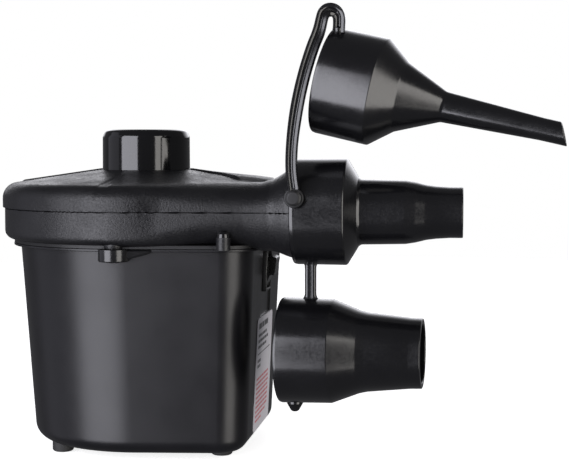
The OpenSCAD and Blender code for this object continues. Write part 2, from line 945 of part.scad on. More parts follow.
// Turned about the strap's line, local +Z along the nozzle and local +X downwards
module on_large() {
    translate([lower_pivot[0], lower_pivot[1], large_z])
        rotate([0, 0, -large_yaw])
            translate([large_x - lower_pivot[0], 0, 0])
                rotate([0, 90, 0])
                    children();
}

module large_nozzle() {
    color([0.04, 0.04, 0.05])
        union() {
            on_large()
                spin(concat(large_outside, large_inside));
            on_large()
                translate([sleeve_r - 0.8, 0, 4.2])
                    rotate([0, 90, 0])
                        spin([[0, 0], [2.6, 0], [2.6, 1], [1.4, 2.6], [0.7, 3], [0, 3]]);
        }
}

// Local +Z along the raised small nozzle, from rim to tip
module on_small() {
    translate(small_origin)
        rotate([0, 0, -small_yaw])
            rotate([0, 90 + small_pitch, 0])
                children();
}

module small_nozzle() {
    color([0.04, 0.04, 0.05])
        on_small()
            difference() {
                spin(concat(small_outside, small_inside));
                translate([0, 0, small_tip_z])
                    rotate([0, -25.5, 0])
                        block([-10, -10, 0], [10, 10, 10]);
            }
}

// Route of the upper strap, from the eyelet on the peg to the small nozzle,
// each point followed by the half width of the strap there
strap_route = [
    [59, -51.2, 89.9, 1.8], [58.1, -51, 96, 1.8], [58.2, -50, 104.2, 1.8], [59.2, -49, 113, 2],
    [60.4, -47.9, 120.1, 2], [62, -46.4, 127.2, 2], [64.1, -44.8, 134.4, 2], [65.8, -43.5, 138.7, 2],
    [66.7, -42.8, 143.3, 1.9], [67.1, -42.3, 144.6, 2], [68.1, -41.9, 145.6, 2.1],
    [69.4, -41.5, 145.8, 2.2], [70.7, -41.2, 145.4, 2.1], [71.6, -41, 144.3, 2],
    [71.9, -40.8, 143.1, 2], [71.8, -40.6, 141.9, 1.9], [71.7, -40.4, 140.5, 1.9]];

strap_line = smooth([for (p = strap_route) [p[0], p[1], p[2]]], 3);
strap_widths = [for (p = smooth(strap_route, 3)) p[3]];

module upper_tether() {
    color([0.04, 0.04, 0.05])
        union() {
            tube(strap_line, strap_widths, 1.3, 16, [0, 1, 0]);
            on_small()
                rotate([0, 0, strap_foot_turn])
                    translate([-sleeve_r - 0.02, 0, 2])
                        rotate([0, -90, 0])
                            cylinder(r = 1.8, h = 2.6, $fn = 32);
            difference() {
                translate([peg[0], -50.4, peg[2]])
                    rotate([90, 0, 0])
                        cylinder(r = 3.1, h = 1.7, $fn = 48);
                translate([peg[0], -49, peg[2]])
                    rotate([90, 0, 0])
                        cylinder(r = 1.6, h = 4, $fn = 48);
            }
        }
}

module lower_tether() {
    top = lower_pivot[2];
    bottom = large_z + sleeve_r + 0.02;
    color([0.04, 0.04, 0.05])
        translate([lower_pivot[0], lower_pivot[1], 0])
            union() {
                translate([0, 2, top])
                    rotate([90, 0, 0])
                        cylinder(r = 1.1, h = 4, $fn = 48);
                block([-0.9, -1.6, top - 1.6], [0.9, 1.6, top]);
                block([-1.2, -0.6, bottom], [1.2, 0.6, top - 1.4]);
                for (side = [-1, 1])
                    translate([side * 1, 0, bottom])
                        cylinder(r = 0.85, h = top - 1.4 - bottom, $fn = 48);
            }
}

upper_shell();
lower_shell();
inlet_collar();
inlet_grille();
motor_case();
rubber_feet();
case_screws();
shell_screws();
label_plate();
cord_gland();
switch_body();
switch_terminals();
switch_rocker();
motor_can();
motor_magnets();
front_bush();
rear_cap();
rear_bush();
carbon_brushes();
brush_springs();
motor_screws();
motor_damper();
motor_shaft();
armature_core();
armature_windings();
commutator();
impeller();
impeller_bush();
impeller_nut();
circuit_board();
bridge_rectifier();
capacitor();
thermal_fuse();
lead_wires();
medium_nozzle();
large_nozzle();
small_nozzle();
upper_tether();
lower_tether();
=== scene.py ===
import json
import math

import bmesh
import bpy
import numpy as np
from mathutils import Matrix, Vector


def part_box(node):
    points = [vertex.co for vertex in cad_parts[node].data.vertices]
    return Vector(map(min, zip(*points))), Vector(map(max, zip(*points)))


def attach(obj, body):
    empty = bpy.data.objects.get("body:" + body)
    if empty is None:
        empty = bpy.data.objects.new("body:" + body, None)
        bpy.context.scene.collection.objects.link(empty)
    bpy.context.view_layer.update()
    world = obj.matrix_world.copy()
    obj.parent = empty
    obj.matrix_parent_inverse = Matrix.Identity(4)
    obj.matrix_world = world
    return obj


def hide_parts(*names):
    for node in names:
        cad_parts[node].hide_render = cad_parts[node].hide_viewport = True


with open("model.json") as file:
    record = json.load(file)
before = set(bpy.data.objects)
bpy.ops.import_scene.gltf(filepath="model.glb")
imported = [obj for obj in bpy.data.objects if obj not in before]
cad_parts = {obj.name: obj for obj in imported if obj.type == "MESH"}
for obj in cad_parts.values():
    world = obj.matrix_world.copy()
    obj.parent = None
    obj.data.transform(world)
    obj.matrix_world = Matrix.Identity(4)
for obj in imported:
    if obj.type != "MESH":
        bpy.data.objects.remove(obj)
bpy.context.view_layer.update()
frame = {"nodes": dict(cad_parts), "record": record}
MM = 0.001


# ---------------------------------------------------------------- places from the CAD frame

def box_mm(node):
    """Lowest and highest corner of a CAD node, in millimetres."""
    low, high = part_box(node)
    return np.array(low) / MM, np.array(high) / MM


UPPER_LOW, UPPER_HIGH = box_mm("upper_shell")
CASE_LOW, CASE_HIGH = box_mm("motor_case")
COLLAR_TOP_Z = box_mm("inlet_collar")[1][2]
LARGE_TOP_Z = box_mm("large_nozzle")[1][2]
GROUND_Z = box_mm("rubber_feet")[0][2]
GRILLE_Z = box_mm("inlet_grille")[0][2]

HEAD_R = -UPPER_LOW[0]
LOWER_R = HEAD_R - 0.7
PARTING_Z = UPPER_LOW[2]
HEAD_BOTTOM_Z = CASE_HIGH[2] + 0.02
SPIGOT_END_X = UPPER_HIGH[0]
SPIGOT_R = 15.0
OUTLET_Y = -33.0
OUTLET_BORE_R = 12.8
NECK_END_X = SPIGOT_END_X - 16.3
WALL = 2.0
SLEEVE_R = 17.0
SOCKET_R = 15.1
LARGE_Z = LARGE_TOP_Z - SLEEVE_R
CASE_BOTTOM_Z = CASE_LOW[2]
CASE_TOP_Z = HEAD_BOTTOM_Z - 2.0
EAR_Y = 44.5
PEG_X, PEG_Z = 59.0, 87.4
QUARTER_TURN = math.pi / 2


# ---------------------------------------------------------------- mesh helpers

def link_object(name, data):
    """A new object in the scene."""
    obj = bpy.data.objects.new(name, data)
    bpy.context.scene.collection.objects.link(obj)
    return obj


def shade(mesh, sharp_degrees):
    """Smooth shading, with edges sharp where faces meet at more than the angle."""
    mesh.shade_smooth()
    mesh.set_sharp_from_angle(angle=math.radians(sharp_degrees))


def make_object(name, verts_mm, faces, smooth_angle=35.0):
    """A mesh object from vertices in millimetres in the shared frame."""
    mesh = bpy.data.meshes.new(name)
    verts = np.asarray(verts_mm, float) * MM
    mesh.from_pydata([tuple(v) for v in verts], [], [tuple(f) for f in faces])
    return finish_mesh(name, mesh, smooth_angle)


def finish_mesh(name, mesh, smooth_angle):
    """An object whose mesh has its doubled points joined and its faces turned outwards."""
    bm = bmesh.new()
    bm.from_mesh(mesh)
    bmesh.ops.remove_doubles(bm, verts=bm.verts, dist=1e-7)
    bmesh.ops.recalc_face_normals(bm, faces=bm.faces)
    bm.to_mesh(mesh)
    bm.free()
    shade(mesh, smooth_angle)
    return link_object(name, mesh)


def tube_faces(rings, n):
    """Faces of a tube through rings of n points each, closed by a face at both ends."""
    faces = [(i * n + k, i * n + (k + 1) % n, (i + 1) * n + (k + 1) % n, (i + 1) * n + k)
             for i in range(rings - 1) for k in range(n)]
    faces.append(tuple(range(n)))
    faces.append(tuple((rings - 1) * n + k for k in range(n)))
    return faces


def weighted(obj):
    """Keeps broad faces flat beside small roundings."""
    modifier = obj.modifiers.new("weighted", "WEIGHTED_NORMAL")
    modifier.keep_sharp = True
    modifier.weight = 50
    return obj


NEARLY_STRAIGHT = math.radians(176)


def round_profile(points, radii, steps=5):
    """Profile points with each corner rounded by its radius."""
    out = []
    n = len(points)
    for i, p in enumerate(points):
        radius = radii[i]
        p = np.array(p, float)
        if radius <= 0 or i in (0, n - 1):
            out.append(p)
            continue
        a = np.array(points[i - 1], float) - p
        b = np.array(points[i + 1], float) - p
        la, lb = np.linalg.norm(a), np.linalg.norm(b)
        a, b = a / la, b / lb
        angle = math.acos(max(-1.0, min(1.0, float(a @ b))))
        if angle > NEARLY_STRAIGHT:
            out.append(p)
            continue
        cut = min(radius / math.tan(angle / 2), la * 0.48, lb * 0.48)
        radius = cut * math.tan(angle / 2)
        centre = p + (a + b) / np.linalg.norm(a + b) * radius / math.sin(angle / 2)
        start, end = p + a * cut - centre, p + b * cut - centre
        a0 = math.atan2(start[1], start[0])
        turn = math.atan2(end[1], end[0]) - a0
        turn = (turn + math.pi) % (2 * math.pi) - math.pi
        for k in range(steps + 1):
            t = a0 + turn * k / steps
            out.append(centre + radius * np.array([math.cos(t), math.sin(t)]))
    return out


def lathe(name, profile, matrix=None, segments=128, smooth_angle=35.0, bend=None):
    """Closed body of revolution about local Z from a closed profile of (radius, height) in mm."""
    profile = [np.array(p, float) for p in profile]
    rows = []
    verts = []
    for r, z in profile:
        if r < 1e-6:
            rows.append([len(verts)] * segments)
            verts.append((0.0, 0.0, z))
            continue
        rows.append(list(range(len(verts), len(verts) + segments)))
        for k in range(segments):
            a = 2 * math.pi * k / segments
            verts.append((r * math.cos(a), r * math.sin(a), z))
    faces = []
    n = len(rows)
    for i in range(n):
        j = (i + 1) % n
        for k in range(segments):
            m = (k + 1) % segments
            loop = []
            for v in (rows[i][k], rows[i][m], rows[j][m], rows[j][k]):
                if v not in loop:
                    loop.append(v)
            if len(loop) > 2:
                faces.append(loop)
    verts = np.array(verts)
    if bend is not None:
        verts = bend(verts)
    if matrix is not None:
        verts = verts @ np.array(matrix)[:3, :3].T + np.array(matrix)[:3, 3]
    return make_object(name, verts, faces, smooth_angle)


def along_x(x, y, z):
    """Local +Z turned to +X at a point in mm."""
    return Matrix.Translation((x, y, z)) @ Matrix.Rotation(QUARTER_TURN, 4, "Y")


def towards_front(y):
    """Local +Z turned to -Y on the axis of the strap's peg."""
    return Matrix.Translation((PEG_X, y, PEG_Z)) @ Matrix.Rotation(QUARTER_TURN, 4, "X")


def along_mount(name, length):
    """Frame of a nozzle from the mount at its tip: local Z along it, local -X upwards."""
    mount = next(m for m in frame["record"]["mounts"] if m["name"] == name)
    axis = Vector(mount["axis"]).normalized()
    start = Vector(mount["pos_m"]) / MM - axis * length
    pitch, yaw = math.asin(-axis.z), math.atan2(axis.y, axis.x)
    return (Matrix.Translation(start) @ Matrix.Rotation(yaw, 4, "Z")
            @ Matrix.Rotation(QUARTER_TURN + pitch, 4, "Y"))


def rounded_box(name, low, high, bevel, segments=3):
    """A box between two corners in mm with rounded edges, its bevel applied to the mesh."""
    low, high = np.array(low, float), np.array(high, float)
    bm = bmesh.new()
    bmesh.ops.create_cube(bm, size=1.0)
    for v in bm.verts:
        v.co = Vector((low + high) / 2 + np.array(v.co) * (high - low)) * MM
    bmesh.ops.bevel(
        bm, geom=list(bm.edges), offset=bevel * MM, segments=segments, profile=0.5, affect="EDGES"
    )
    mesh = bpy.data.meshes.new(name)
    bm.to_mesh(mesh)
    bm.free()
    return finish_mesh(name, mesh, 60)


def ring_prism(name, rings, smooth_angle=30):
    """A closed solid through outline rings that all have the same number of points."""
    verts = [p for ring in rings for p in ring]
    return make_object(name, verts, tube_faces(len(rings), len(rings[0])), smooth_angle)


def join(name, objects):
    """One object with the meshes of several."""
    bm = bmesh.new()
    for o in objects:
        bm.from_mesh(o.data)
    mesh = bpy.data.meshes.new(name)
    bm.to_mesh(mesh)
    bm.free()
    for o in objects:
        bpy.data.objects.remove(o)
    shade(mesh, 40)
    return link_object(name, mesh)


def moved(obj, matrix_mm):
    """Moves a mesh by a matrix whose translation is in millimetres."""
    m = matrix_mm.copy()
    m.translation = m.translation * MM
    obj.data.transform(m)
    return obj


def smooth_line(route, steps):
    """A route smoothed by quadratic curves through the middles of its spans."""
    route = np.asarray(route, float)
    out = [route[0]]
    for i in range(1, len(route) - 1):
        a, b, c = (route[i - 1] + route[i]) / 2, route[i], (route[i] + route[i + 1]) / 2
        for k in range(steps):
            t = k / steps
            out.append(a * (1 - t) ** 2 + b * 2 * t * (1 - t) + c * t * t)
    out.append((route[-2] + route[-1]) / 2)
    out.append(route[-1])
    return np.array(out)


def sweep(name, line, outline_at):
    """A closed body swept along points in mm; outline_at(i, t) gives its section's points."""
    line = np.asarray(line, float)
    last = len(line) - 1
    rings = []
    for i, middle in enumerate(line):
        t = line[min(i + 1, last)] - line[max(i - 1, 0)]
        t /= np.linalg.norm(t)
        u = np.cross(t, (0.0, 1.0, 0.0))
        u /= np.linalg.norm(u)
        v = np.cross(u, t)
        rings.append([middle + u * a + v * b for a, b in outline_at(i, i / last)])
    return ring_prism(name, rings, 50)


def skin(name, field, low, high, step, smooth_angle=38.0):
    """The surface field = 0 over a grid in mm, each vertex moved onto the surface.

    Each grid cell that the surface crosses gets one vertex, and each grid edge that it
    crosses gets one face between the four cells round it.
    """
    low, high = np.array(low, float), np.array(high, float)
    n = np.ceil((high - low) / step).astype(int) + 1
    axes = [low[i] + step * np.arange(n[i]) for i in range(3)]
    grid = np.meshgrid(*axes, indexing="ij")
    f = field(*grid)
    cells = n - 1
    total = np.zeros((int(np.prod(cells)), 3))
    count = np.zeros(int(np.prod(cells)))
    strides = np.array([cells[1] * cells[2], cells[2], 1])
    crossings = []
    for axis in range(3):
        a = [slice(None)] * 3
        b = [slice(None)] * 3
        a[axis], b[axis] = slice(0, -1), slice(1, None)
        fa, fb = f[tuple(a)], f[tuple(b)]
        index = np.argwhere((fa < 0) != (fb < 0))
        va, vb = fa[tuple(index.T)], fb[tuple(index.T)]
        p = low + index * step
        p[:, axis] += step * va / (va - vb)
        u, v = [(1, 2), (2, 0), (0, 1)][axis]
        inside = (index[:, u] > 0) & (index[:, v] > 0)
        inside &= (index[:, u] < cells[u]) & (index[:, v] < cells[v])
        index, p, va = index[inside], p[inside], va[inside]
        quad = []
        for du, dv in ((0, 0), (-1, 0), (-1, -1), (0, -1)):
            cell = index.copy()
            cell[:, u] += du
            cell[:, v] += dv
            flat = cell @ strides
            quad.append(flat)
            for k in range(3):
                total[:, k] += np.bincount(flat, p[:, k], len(count))
            count += np.bincount(flat, minlength=len(count))
        quad = np.array(quad).T
        quad[va >= 0] = quad[va >= 0][:, ::-1]
        crossings.append(quad)
    quads = np.concatenate(crossings)
    used = np.unique(quads)
    points = total[used] / count[used][:, None]
    row_of = np.full(len(count), -1)
    row_of[used] = np.arange(len(used))
    quads = row_of[quads]
    h = 0.04
    for _ in range(4):
        value = field(*points.T)
        nudges = np.eye(3) * h
        gradient = np.stack(
            [(field(*(points + d).T) - field(*(points - d).T)) / (2 * h) for d in nudges], axis=1)
        size = np.maximum((gradient**2).sum(1), 0.05)
        move = -gradient * (value / size)[:, None]
        length = np.linalg.norm(move, axis=1)[:, None]
        points += move * np.minimum(1, 0.5 * step / np.maximum(length, 1e-9))
    mesh = bpy.data.meshes.new(name)
    mesh.vertices.add(len(points))
    mesh.vertices.foreach_set("co", (points * MM).astype(np.float32).ravel())
    mesh.loops.add(quads.size)
    mesh.loops.foreach_set("vertex_index", quads.astype(np.int32).ravel())
    mesh.polygons.add(len(quads))
    mesh.polygons.foreach_set("loop_start", np.arange(0, quads.size, 4, dtype=np.int32))
    mesh.update(calc_edges=True)
    mesh.validate()
    shade(mesh, smooth_angle)
    return link_object(name, mesh)


def round_max(a, b, r):
    """Intersection of two fields with a rounded edge."""
    return np.minimum(-r, np.maximum(a, b)) + np.hypot(np.maximum(a + r, 0), np.maximum(b + r, 0))


def round_min(a, b, r):
    """Union of two fields with a rounded inner corner."""
    return np.maximum(r, np.minimum(a, b)) - np.hypot(np.maximum(r - a, 0), np.maximum(r - b, 0))


def ease(x, low, high):
    """Smooth step from 0 at low to 1 at high."""
    t = np.clip((x - low) / (high - low), 0, 1)
    return t * t * (3 - 2 * t)


# ---------------------------------------------------------------- materials

def new_material(name):
    """A material with its node tree, its shader and the object's own coordinates."""
    material = bpy.data.materials.new(name)
    material.use_nodes = True
    tree = material.node_tree
    tree.nodes.clear()
    out = tree.nodes.new("ShaderNodeOutputMaterial")
    shader = tree.nodes.new("ShaderNodeBsdfPrincipled")
    tree.links.new(shader.outputs[0], out.inputs[0])
    coords = tree.nodes.new("ShaderNodeTexCoord")
    return material, tree, shader, coords.outputs["Object"]


def noise(tree, vector, size_mm, detail=2.0, rough=0.5, stretch=(1, 1, 1)):
    """Noise with features of a size in millimetres."""
    mapping = tree.nodes.new("ShaderNodeMapping")
    mapping.inputs["Scale"].default_value = stretch
    tree.links.new(vector, mapping.inputs["Vector"])
    node = tree.nodes.new("ShaderNodeTexNoise")
    node.inputs["Scale"].default_value = 1 / (size_mm * MM)
    node.inputs["Detail"].default_value = detail
    node.inputs["Roughness"].default_value = rough
    tree.links.new(mapping.outputs[0], node.inputs["Vector"])
    return node.outputs["Fac"]


def remap(tree, value, low_in, high_in, low, high):
    """The value taken from one range to another and clamped to it."""
    node = tree.nodes.new("ShaderNodeMapRange")
    for name, number in zip(
        ("From Min", "From Max", "To Min", "To Max"), (low_in, high_in, low, high)
    ):
        node.inputs[name].default_value = number
    tree.links.new(value, node.inputs["Value"])
    return node.outputs[0]


def math_node(tree, operation, first, second):
    """Two values joined by one operation."""
    node = tree.nodes.new("ShaderNodeMath")
    node.operation = operation
    tree.links.new(first, node.inputs[0])
    tree.links.new(second, node.inputs[1])
    return node.outputs[0]


def blend_colours(tree, factor, first, second):
    """A colour between two by a factor; each is a colour or a socket."""
    node = tree.nodes.new("ShaderNodeMix")
    node.data_type = "RGBA"
    for socket, colour in ((6, first), (7, second)):
        if hasattr(colour, "links"):
            tree.links.new(colour, node.inputs[socket])
        else:
            node.inputs[socket].default_value = (*colour, 1)
    tree.links.new(factor, node.inputs[0])
    return node.outputs[2]


def bump(tree, height, distance_mm, strength, below=None):
    """A bumped normal, on top of another one where it is given."""
    node = tree.nodes.new("ShaderNodeBump")
    node.inputs["Strength"].default_value = strength
    node.inputs["Distance"].default_value = distance_mm * MM
    tree.links.new(height, node.inputs["Height"])
    if below is not None:
        tree.links.new(below, node.inputs["Normal"])
    return node.outputs[0]


def edge_wear(tree, amount):
    """Factor that is high on convex edges."""
    geometry = tree.nodes.new("ShaderNodeNewGeometry")
    return remap(tree, geometry.outputs["Pointiness"], 0.52, 0.60, 0.0, amount)


BLOTCH_MM = 14.0
BLOTCH_TINT = 1.25
EDGE_WEAR = 0.15


def plastic(name, base, rough, grain_mm, grain_depth, rough_swing, specular=0.5,
            wave_mm=0.0, wave_depth=0.0):
    """Moulded plastic: fine grain, slow waves, blotchy gloss and paler rubbed edges."""
    material, tree, shader, co = new_material(name)
    blotch = noise(tree, co, BLOTCH_MM, 3.0)
    darker, paler = (tuple(c * k for c in base) for k in (1 / BLOTCH_TINT, BLOTCH_TINT))
    rubbed = tuple(min(1, c * 3 + 0.01) for c in base)
    colour = blend_colours(tree, blotch, darker, paler)
    colour = blend_colours(tree, edge_wear(tree, EDGE_WEAR), colour, rubbed)
    tree.links.new(colour, shader.inputs["Base Color"])
    grain = noise(tree, co, grain_mm, 2.0, 0.6)
    slow = remap(tree, blotch, 0.3, 0.7, rough - rough_swing, rough + rough_swing)
    speckle = remap(tree, grain, 0.3, 0.7, -rough_swing, rough_swing)
    tree.links.new(math_node(tree, "ADD", slow, speckle), shader.inputs["Roughness"])
    shader.inputs["Specular IOR Level"].default_value = specular
    waves = None
    if wave_mm:
        waves = bump(tree, noise(tree, co, wave_mm, 1.0), wave_depth, 1.0)
    tree.links.new(bump(tree, grain, grain_depth, 1.0, waves), shader.inputs["Normal"])
    return material


METAL_SWING = 0.1
SCRATCH_DEPTH_MM = 0.01


def metal(name, base, rough, brush_mm=0.25, stretch=(1, 1, 0.05)):
    """Metal with fine directional scratches and blotchy tarnish."""
    material, tree, shader, co = new_material(name)
    scratch = noise(tree, co, brush_mm, 3.0, 0.6, stretch)
    blotch = noise(tree, co, 6.0, 3.0)
    colour = blend_colours(tree, blotch, tuple(c * 0.8 for c in base),
                           tuple(min(1, c * 1.12) for c in base))
    tree.links.new(colour, shader.inputs["Base Color"])
    shader.inputs["Metallic"].default_value = 1.0
    tree.links.new(remap(tree, scratch, 0.3, 0.7, rough - METAL_SWING, rough + METAL_SWING),
                   shader.inputs["Roughness"])
    tree.links.new(bump(tree, scratch, SCRATCH_DEPTH_MM, 0.6), shader.inputs["Normal"])
    return material


def board(name):
    """Green circuit board with lighter copper traces under the mask."""
    material, tree, shader, co = new_material(name)
    brick = tree.nodes.new("ShaderNodeTexBrick")
    brick.inputs["Scale"].default_value = 260
    brick.inputs["Mortar Size"].default_value = 0.09
    brick.inputs["Color1"].default_value = (0.015, 0.12, 0.035, 1)
    brick.inputs["Color2"].default_value = (0.02, 0.15, 0.04, 1)
    brick.inputs["Mortar"].default_value = (0.05, 0.26, 0.09, 1)
    mapping = tree.nodes.new("ShaderNodeMapping")
    mapping.inputs["Rotation"].default_value = (0, QUARTER_TURN, 0)
    tree.links.new(co, mapping.inputs["Vector"])
    tree.links.new(mapping.outputs[0], brick.inputs["Vector"])
    tree.links.new(brick.outputs["Color"], shader.inputs["Base Color"])
    tree.links.new(remap(tree, noise(tree, co, 3.0), 0.3, 0.7, 0.25, 0.4),
                   shader.inputs["Roughness"])
    tree.links.new(bump(tree, brick.outputs["Fac"], 0.03, 0.5), shader.inputs["Normal"])
    return material


def film(name, base):
    """Printed label film: satin, with fine paper fibres."""
    material, tree, shader, co = new_material(name)
    fibre = noise(tree, co, 0.5, 4.0, 0.65)
    colour = blend_colours(tree, fibre, tuple(c * 0.93 for c in base), base)
    tree.links.new(colour, shader.inputs["Base Color"])
    tree.links.new(remap(tree, fibre, 0.3, 0.7, 0.3, 0.45), shader.inputs["Roughness"])
    tree.links.new(bump(tree, fibre, 0.01, 0.5), shader.inputs["Normal"])
    return material


MATERIALS = {
    "head_plastic": plastic("head_grained", (0.0040, 0.0040, 0.0048), 0.42, 0.62, 0.09, 0.10,
                            specular=0.33),
    "case_plastic": plastic("case_satin", (0.0036, 0.0035, 0.0044), 0.33, 0.5, 0.006, 0.03, 0.31,
                            wave_mm=25, wave_depth=0.05),
    "gloss_black": plastic("collar_gloss", (0.003, 0.003, 0.0034), 0.10, 0.8, 0.0015, 0.02,
                           wave_mm=9, wave_depth=0.01),
    "nozzle_plastic": plastic("nozzle_semigloss", (0.0032, 0.0032, 0.0038), 0.2, 0.7, 0.004,
                              0.04, 0.55, wave_mm=7, wave_depth=0.03),
    "rubber_black": plastic("rubber", (0.006, 0.006, 0.006), 0.75, 0.3, 0.02, 0.06),
    "label_film": film("label_film", (0.62, 0.61, 0.66)),
    "switch_frame": plastic("switch_frame", (0.02, 0.02, 0.021), 0.38, 0.35, 0.006, 0.04),
    "switch_black": plastic("switch_rocker", (0.010, 0.010, 0.010), 0.3, 0.6, 0.004, 0.04),
    "screw_steel": metal("zinc_screw", (0.62, 0.62, 0.64), 0.32),
    "contact_brass": metal("brass_contact", (0.78, 0.57, 0.22), 0.28),
    "can_steel": metal("zinc_can", (0.58, 0.59, 0.61), 0.36, 0.3),
    "magnet_ferrite": plastic("ferrite", (0.035, 0.035, 0.038), 0.6, 0.25, 0.02, 0.08),
    "bush_bronze": metal("sintered_bronze", (0.6, 0.38, 0.17), 0.5, 0.2, (1, 1, 1)),
    "cap_nylon": plastic("nylon_cap", (0.62, 0.6, 0.52), 0.45, 0.6, 0.01, 0.05),
    "carbon": plastic("carbon_brush", (0.02, 0.02, 0.02), 0.55, 0.2, 0.015, 0.08),
    "spring_steel": metal("spring_steel", (0.6, 0.6, 0.62), 0.25),
    "shaft_steel": metal("ground_shaft", (0.68, 0.69, 0.7), 0.18, 0.15, (0.05, 0.05, 1)),
    "core_steel": metal("core_laminations", (0.4, 0.41, 0.43), 0.42, 0.5, (0.03, 0.03, 1)),
    "winding_copper": metal("enamelled_copper", (0.62, 0.24, 0.09), 0.3, 0.45, (0.05, 0.05, 1)),
    "impeller_plastic": plastic("impeller_nylon", (0.7, 0.7, 0.66), 0.42, 0.7, 0.01, 0.05),
    "board_green": board("circuit_board"),
    "component_black": plastic("component_epoxy", (0.015, 0.015, 0.015), 0.45, 0.3, 0.01, 0.05),
    "capacitor_blue": plastic("capacitor_sleeve", (0.02, 0.03, 0.16), 0.25, 0.6, 0.004, 0.04),
    "fuse_ceramic": plastic("fuse_ceramic", (0.7, 0.66, 0.52), 0.4, 0.4, 0.008, 0.05),
    "wire_red": plastic("wire_pvc", (0.35, 0.02, 0.015), 0.35, 0.5, 0.006, 0.04),
}

for part in frame["record"]["subparts"]:
    cad_node = frame["nodes"][part["node"]]
    cad_node.data.materials.clear()
    cad_node.data.materials.append(MATERIALS[part["material_slot"]])


def place(obj, body, slot, replaced=(), material=None):
    """Gives a piece its finish and its body, and hides the CAD nodes that it stands for."""
    if not obj.data.materials:
        obj.data.materials.append(material or MATERIALS[slot])
    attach(obj, body)
    if replaced:
        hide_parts(*replaced)
    return obj


# ---------------------------------------------------------------- pump head

SHOULDER_R = 4.5
DOME_TOP_Z = 95.3
DOME_EDGE = (45.6, PARTING_Z + 8.46)
DOME_SLOPE = (DOME_TOP_Z - DOME_EDGE[1]) / (DOME_EDGE[0] - 15)
BOWL_BOTTOM_Z = HEAD_BOTTOM_Z + 1.25
CHANNEL_START_X = -1.0
CHANNEL_END_X = 42.0
ROOF_STEP = 0.55
ROOF_STEP_RIGHT = 0.7
NEAR_STEP = 0.25
PARTING_GAP = 0.06
FREE = -9.0  # a field value that cuts nothing away


def neck_shape(x):
    """Half width, height of the top and depth of the bottom of the air channel and neck at x."""
    xs = [-60, 0, CHANNEL_END_X, 46, 50, 51.5, 53, 54, 55.5, 57, 58, 80]
    half = [15.35, 15.35, 12.7, 12.7, 12.85, 13.15, 13.7, 14.1, 14.65, 15, 15, 15]
    top = [8.4, 8.7, 9.35, 9.4, 10.3, 11.2, 12.1, 12.8, 13.9, 15, 15, 15]
    low = [11.2, 11.2, 11.4, 12.7, 12.85, 13.15, 13.7, 14.1, 14.65, 15, 15, 15]
    return np.interp(x, xs, half), np.interp(x, xs, top), np.interp(x, xs, low)


def channel_field(x, y, z):
    """The air channel and neck: a rounded box that turns into a round tube along X."""
    half, top, low = neck_shape(x)
    turned = ease(x, CHANNEL_START_X, CHANNEL_END_X + 1.0)
    height = np.where(z > PARTING_Z, top, low)
    first = np.where(z > PARTING_Z, 4.6, 3.4)
    corner_y = first + (half - first) * turned
    corner_z = first + (height - first) * turned
    u = np.maximum(np.abs(y - OUTLET_Y) - (half - corner_y), 0) / corner_y
    v = np.maximum(np.abs(z - PARTING_Z) - (height - corner_z), 0) / corner_z
    round_part = (np.hypot(u, v) - 1) * np.minimum(corner_y, corner_z)
    body = np.maximum(round_part, CHANNEL_START_X - x)
    return np.maximum(body, x - SPIGOT_END_X)


def dome_height(x, y):
    """Height of the roof: a shallow cone, with a thin raised step over the far half.

    The step's edge runs across at y = 0, then forwards along a chord on the neck's side. A
    second, lower step turns away from the collar on the near side.
    """
    r = np.hypot(x, y)
    angle = np.arctan2(y, x)
    z = DOME_EDGE[1] + DOME_SLOPE * (DOME_EDGE[0] - r)
    chord = (x - 24.9) * 0.827 + (y - 2.7) * 0.563
    far = np.maximum(ease(y, -0.4, 0.4), ease(chord, -0.15, 0.15) * ease(y, -15, -8))
    far = far * ease(r, 15.0, 16.2) * (1 - ease(r, 44.4, 46.0))
    step = ROOF_STEP + ROOF_STEP_RIGHT * ease(x, 5, 40) * ease(r, 20, 42)
    near_right = ease(angle, math.radians(-97), math.radians(-95.5)) * (1 - far)
    near_right = near_right * (angle < 0) * ease(r, 17, 24)
    return z + step * far - NEAR_STEP * near_right


def dome_field(x, y, z):
    """Outside of the upper half: the roof over a round wall."""
    r = np.hypot(x, y)
    roof = (z - dome_height(x, y)) * 0.989
    return round_max(r - HEAD_R, roof, SHOULDER_R)


def bowl_field(x, y, z):
    """Outside of the lower half."""
    r = np.hypot(x, y)
    return round_max(r - LOWER_R, BOWL_BOTTOM_Z - z, 3.0)


def open_bore(shell, x, y, z):
    """The shell with the outlet bored open through the spigot."""
    bore = np.hypot(y - OUTLET_Y, z - PARTING_Z) - OUTLET_BORE_R
    return np.maximum(shell, np.where(x > NECK_END_X, -bore, FREE))


def upper_field(x, y, z):
    """The upper shell: hollow, cut at the parting line, with the inlet port and the outlet."""
    outside = round_min(dome_field(x, y, z), channel_field(x, y, z), 0.5)
    shell = np.maximum(outside, -(outside + WALL))
    shell = round_max(shell, PARTING_Z + PARTING_GAP - z, 0.25)
    port = SPIGOT_R + 0.1 - np.hypot(x, y)
    shell = np.maximum(shell, np.where(z > PARTING_Z + 5, port, FREE))
    return open_bore(shell, x, y, z)


def lower_field(x, y, z):
    """The lower shell: hollow, cut at the parting line, with the outlet."""
    outside = round_min(bowl_field(x, y, z), channel_field(x, y, z), 0.8)
    shell = np.maximum(outside, -(outside + WALL))
    shell = round_max(shell, z - (PARTING_Z - PARTING_GAP), 0.3)
    shell = np.maximum(shell, np.where(x < NECK_END_X - 12, HEAD_BOTTOM_Z + 0.02 - z, FREE))
    return open_bore(shell, x, y, z)


GRID = 0.53

upper = skin("head_upper", upper_field,
             (-HEAD_R - 1.13, -HEAD_R - 1.17, PARTING_Z - 0.71),
             (SPIGOT_END_X + 1.1, HEAD_R + 1.1, PARTING_Z + 16.2), GRID)
place(upper, "pump", "head_plastic", ("upper_shell",))

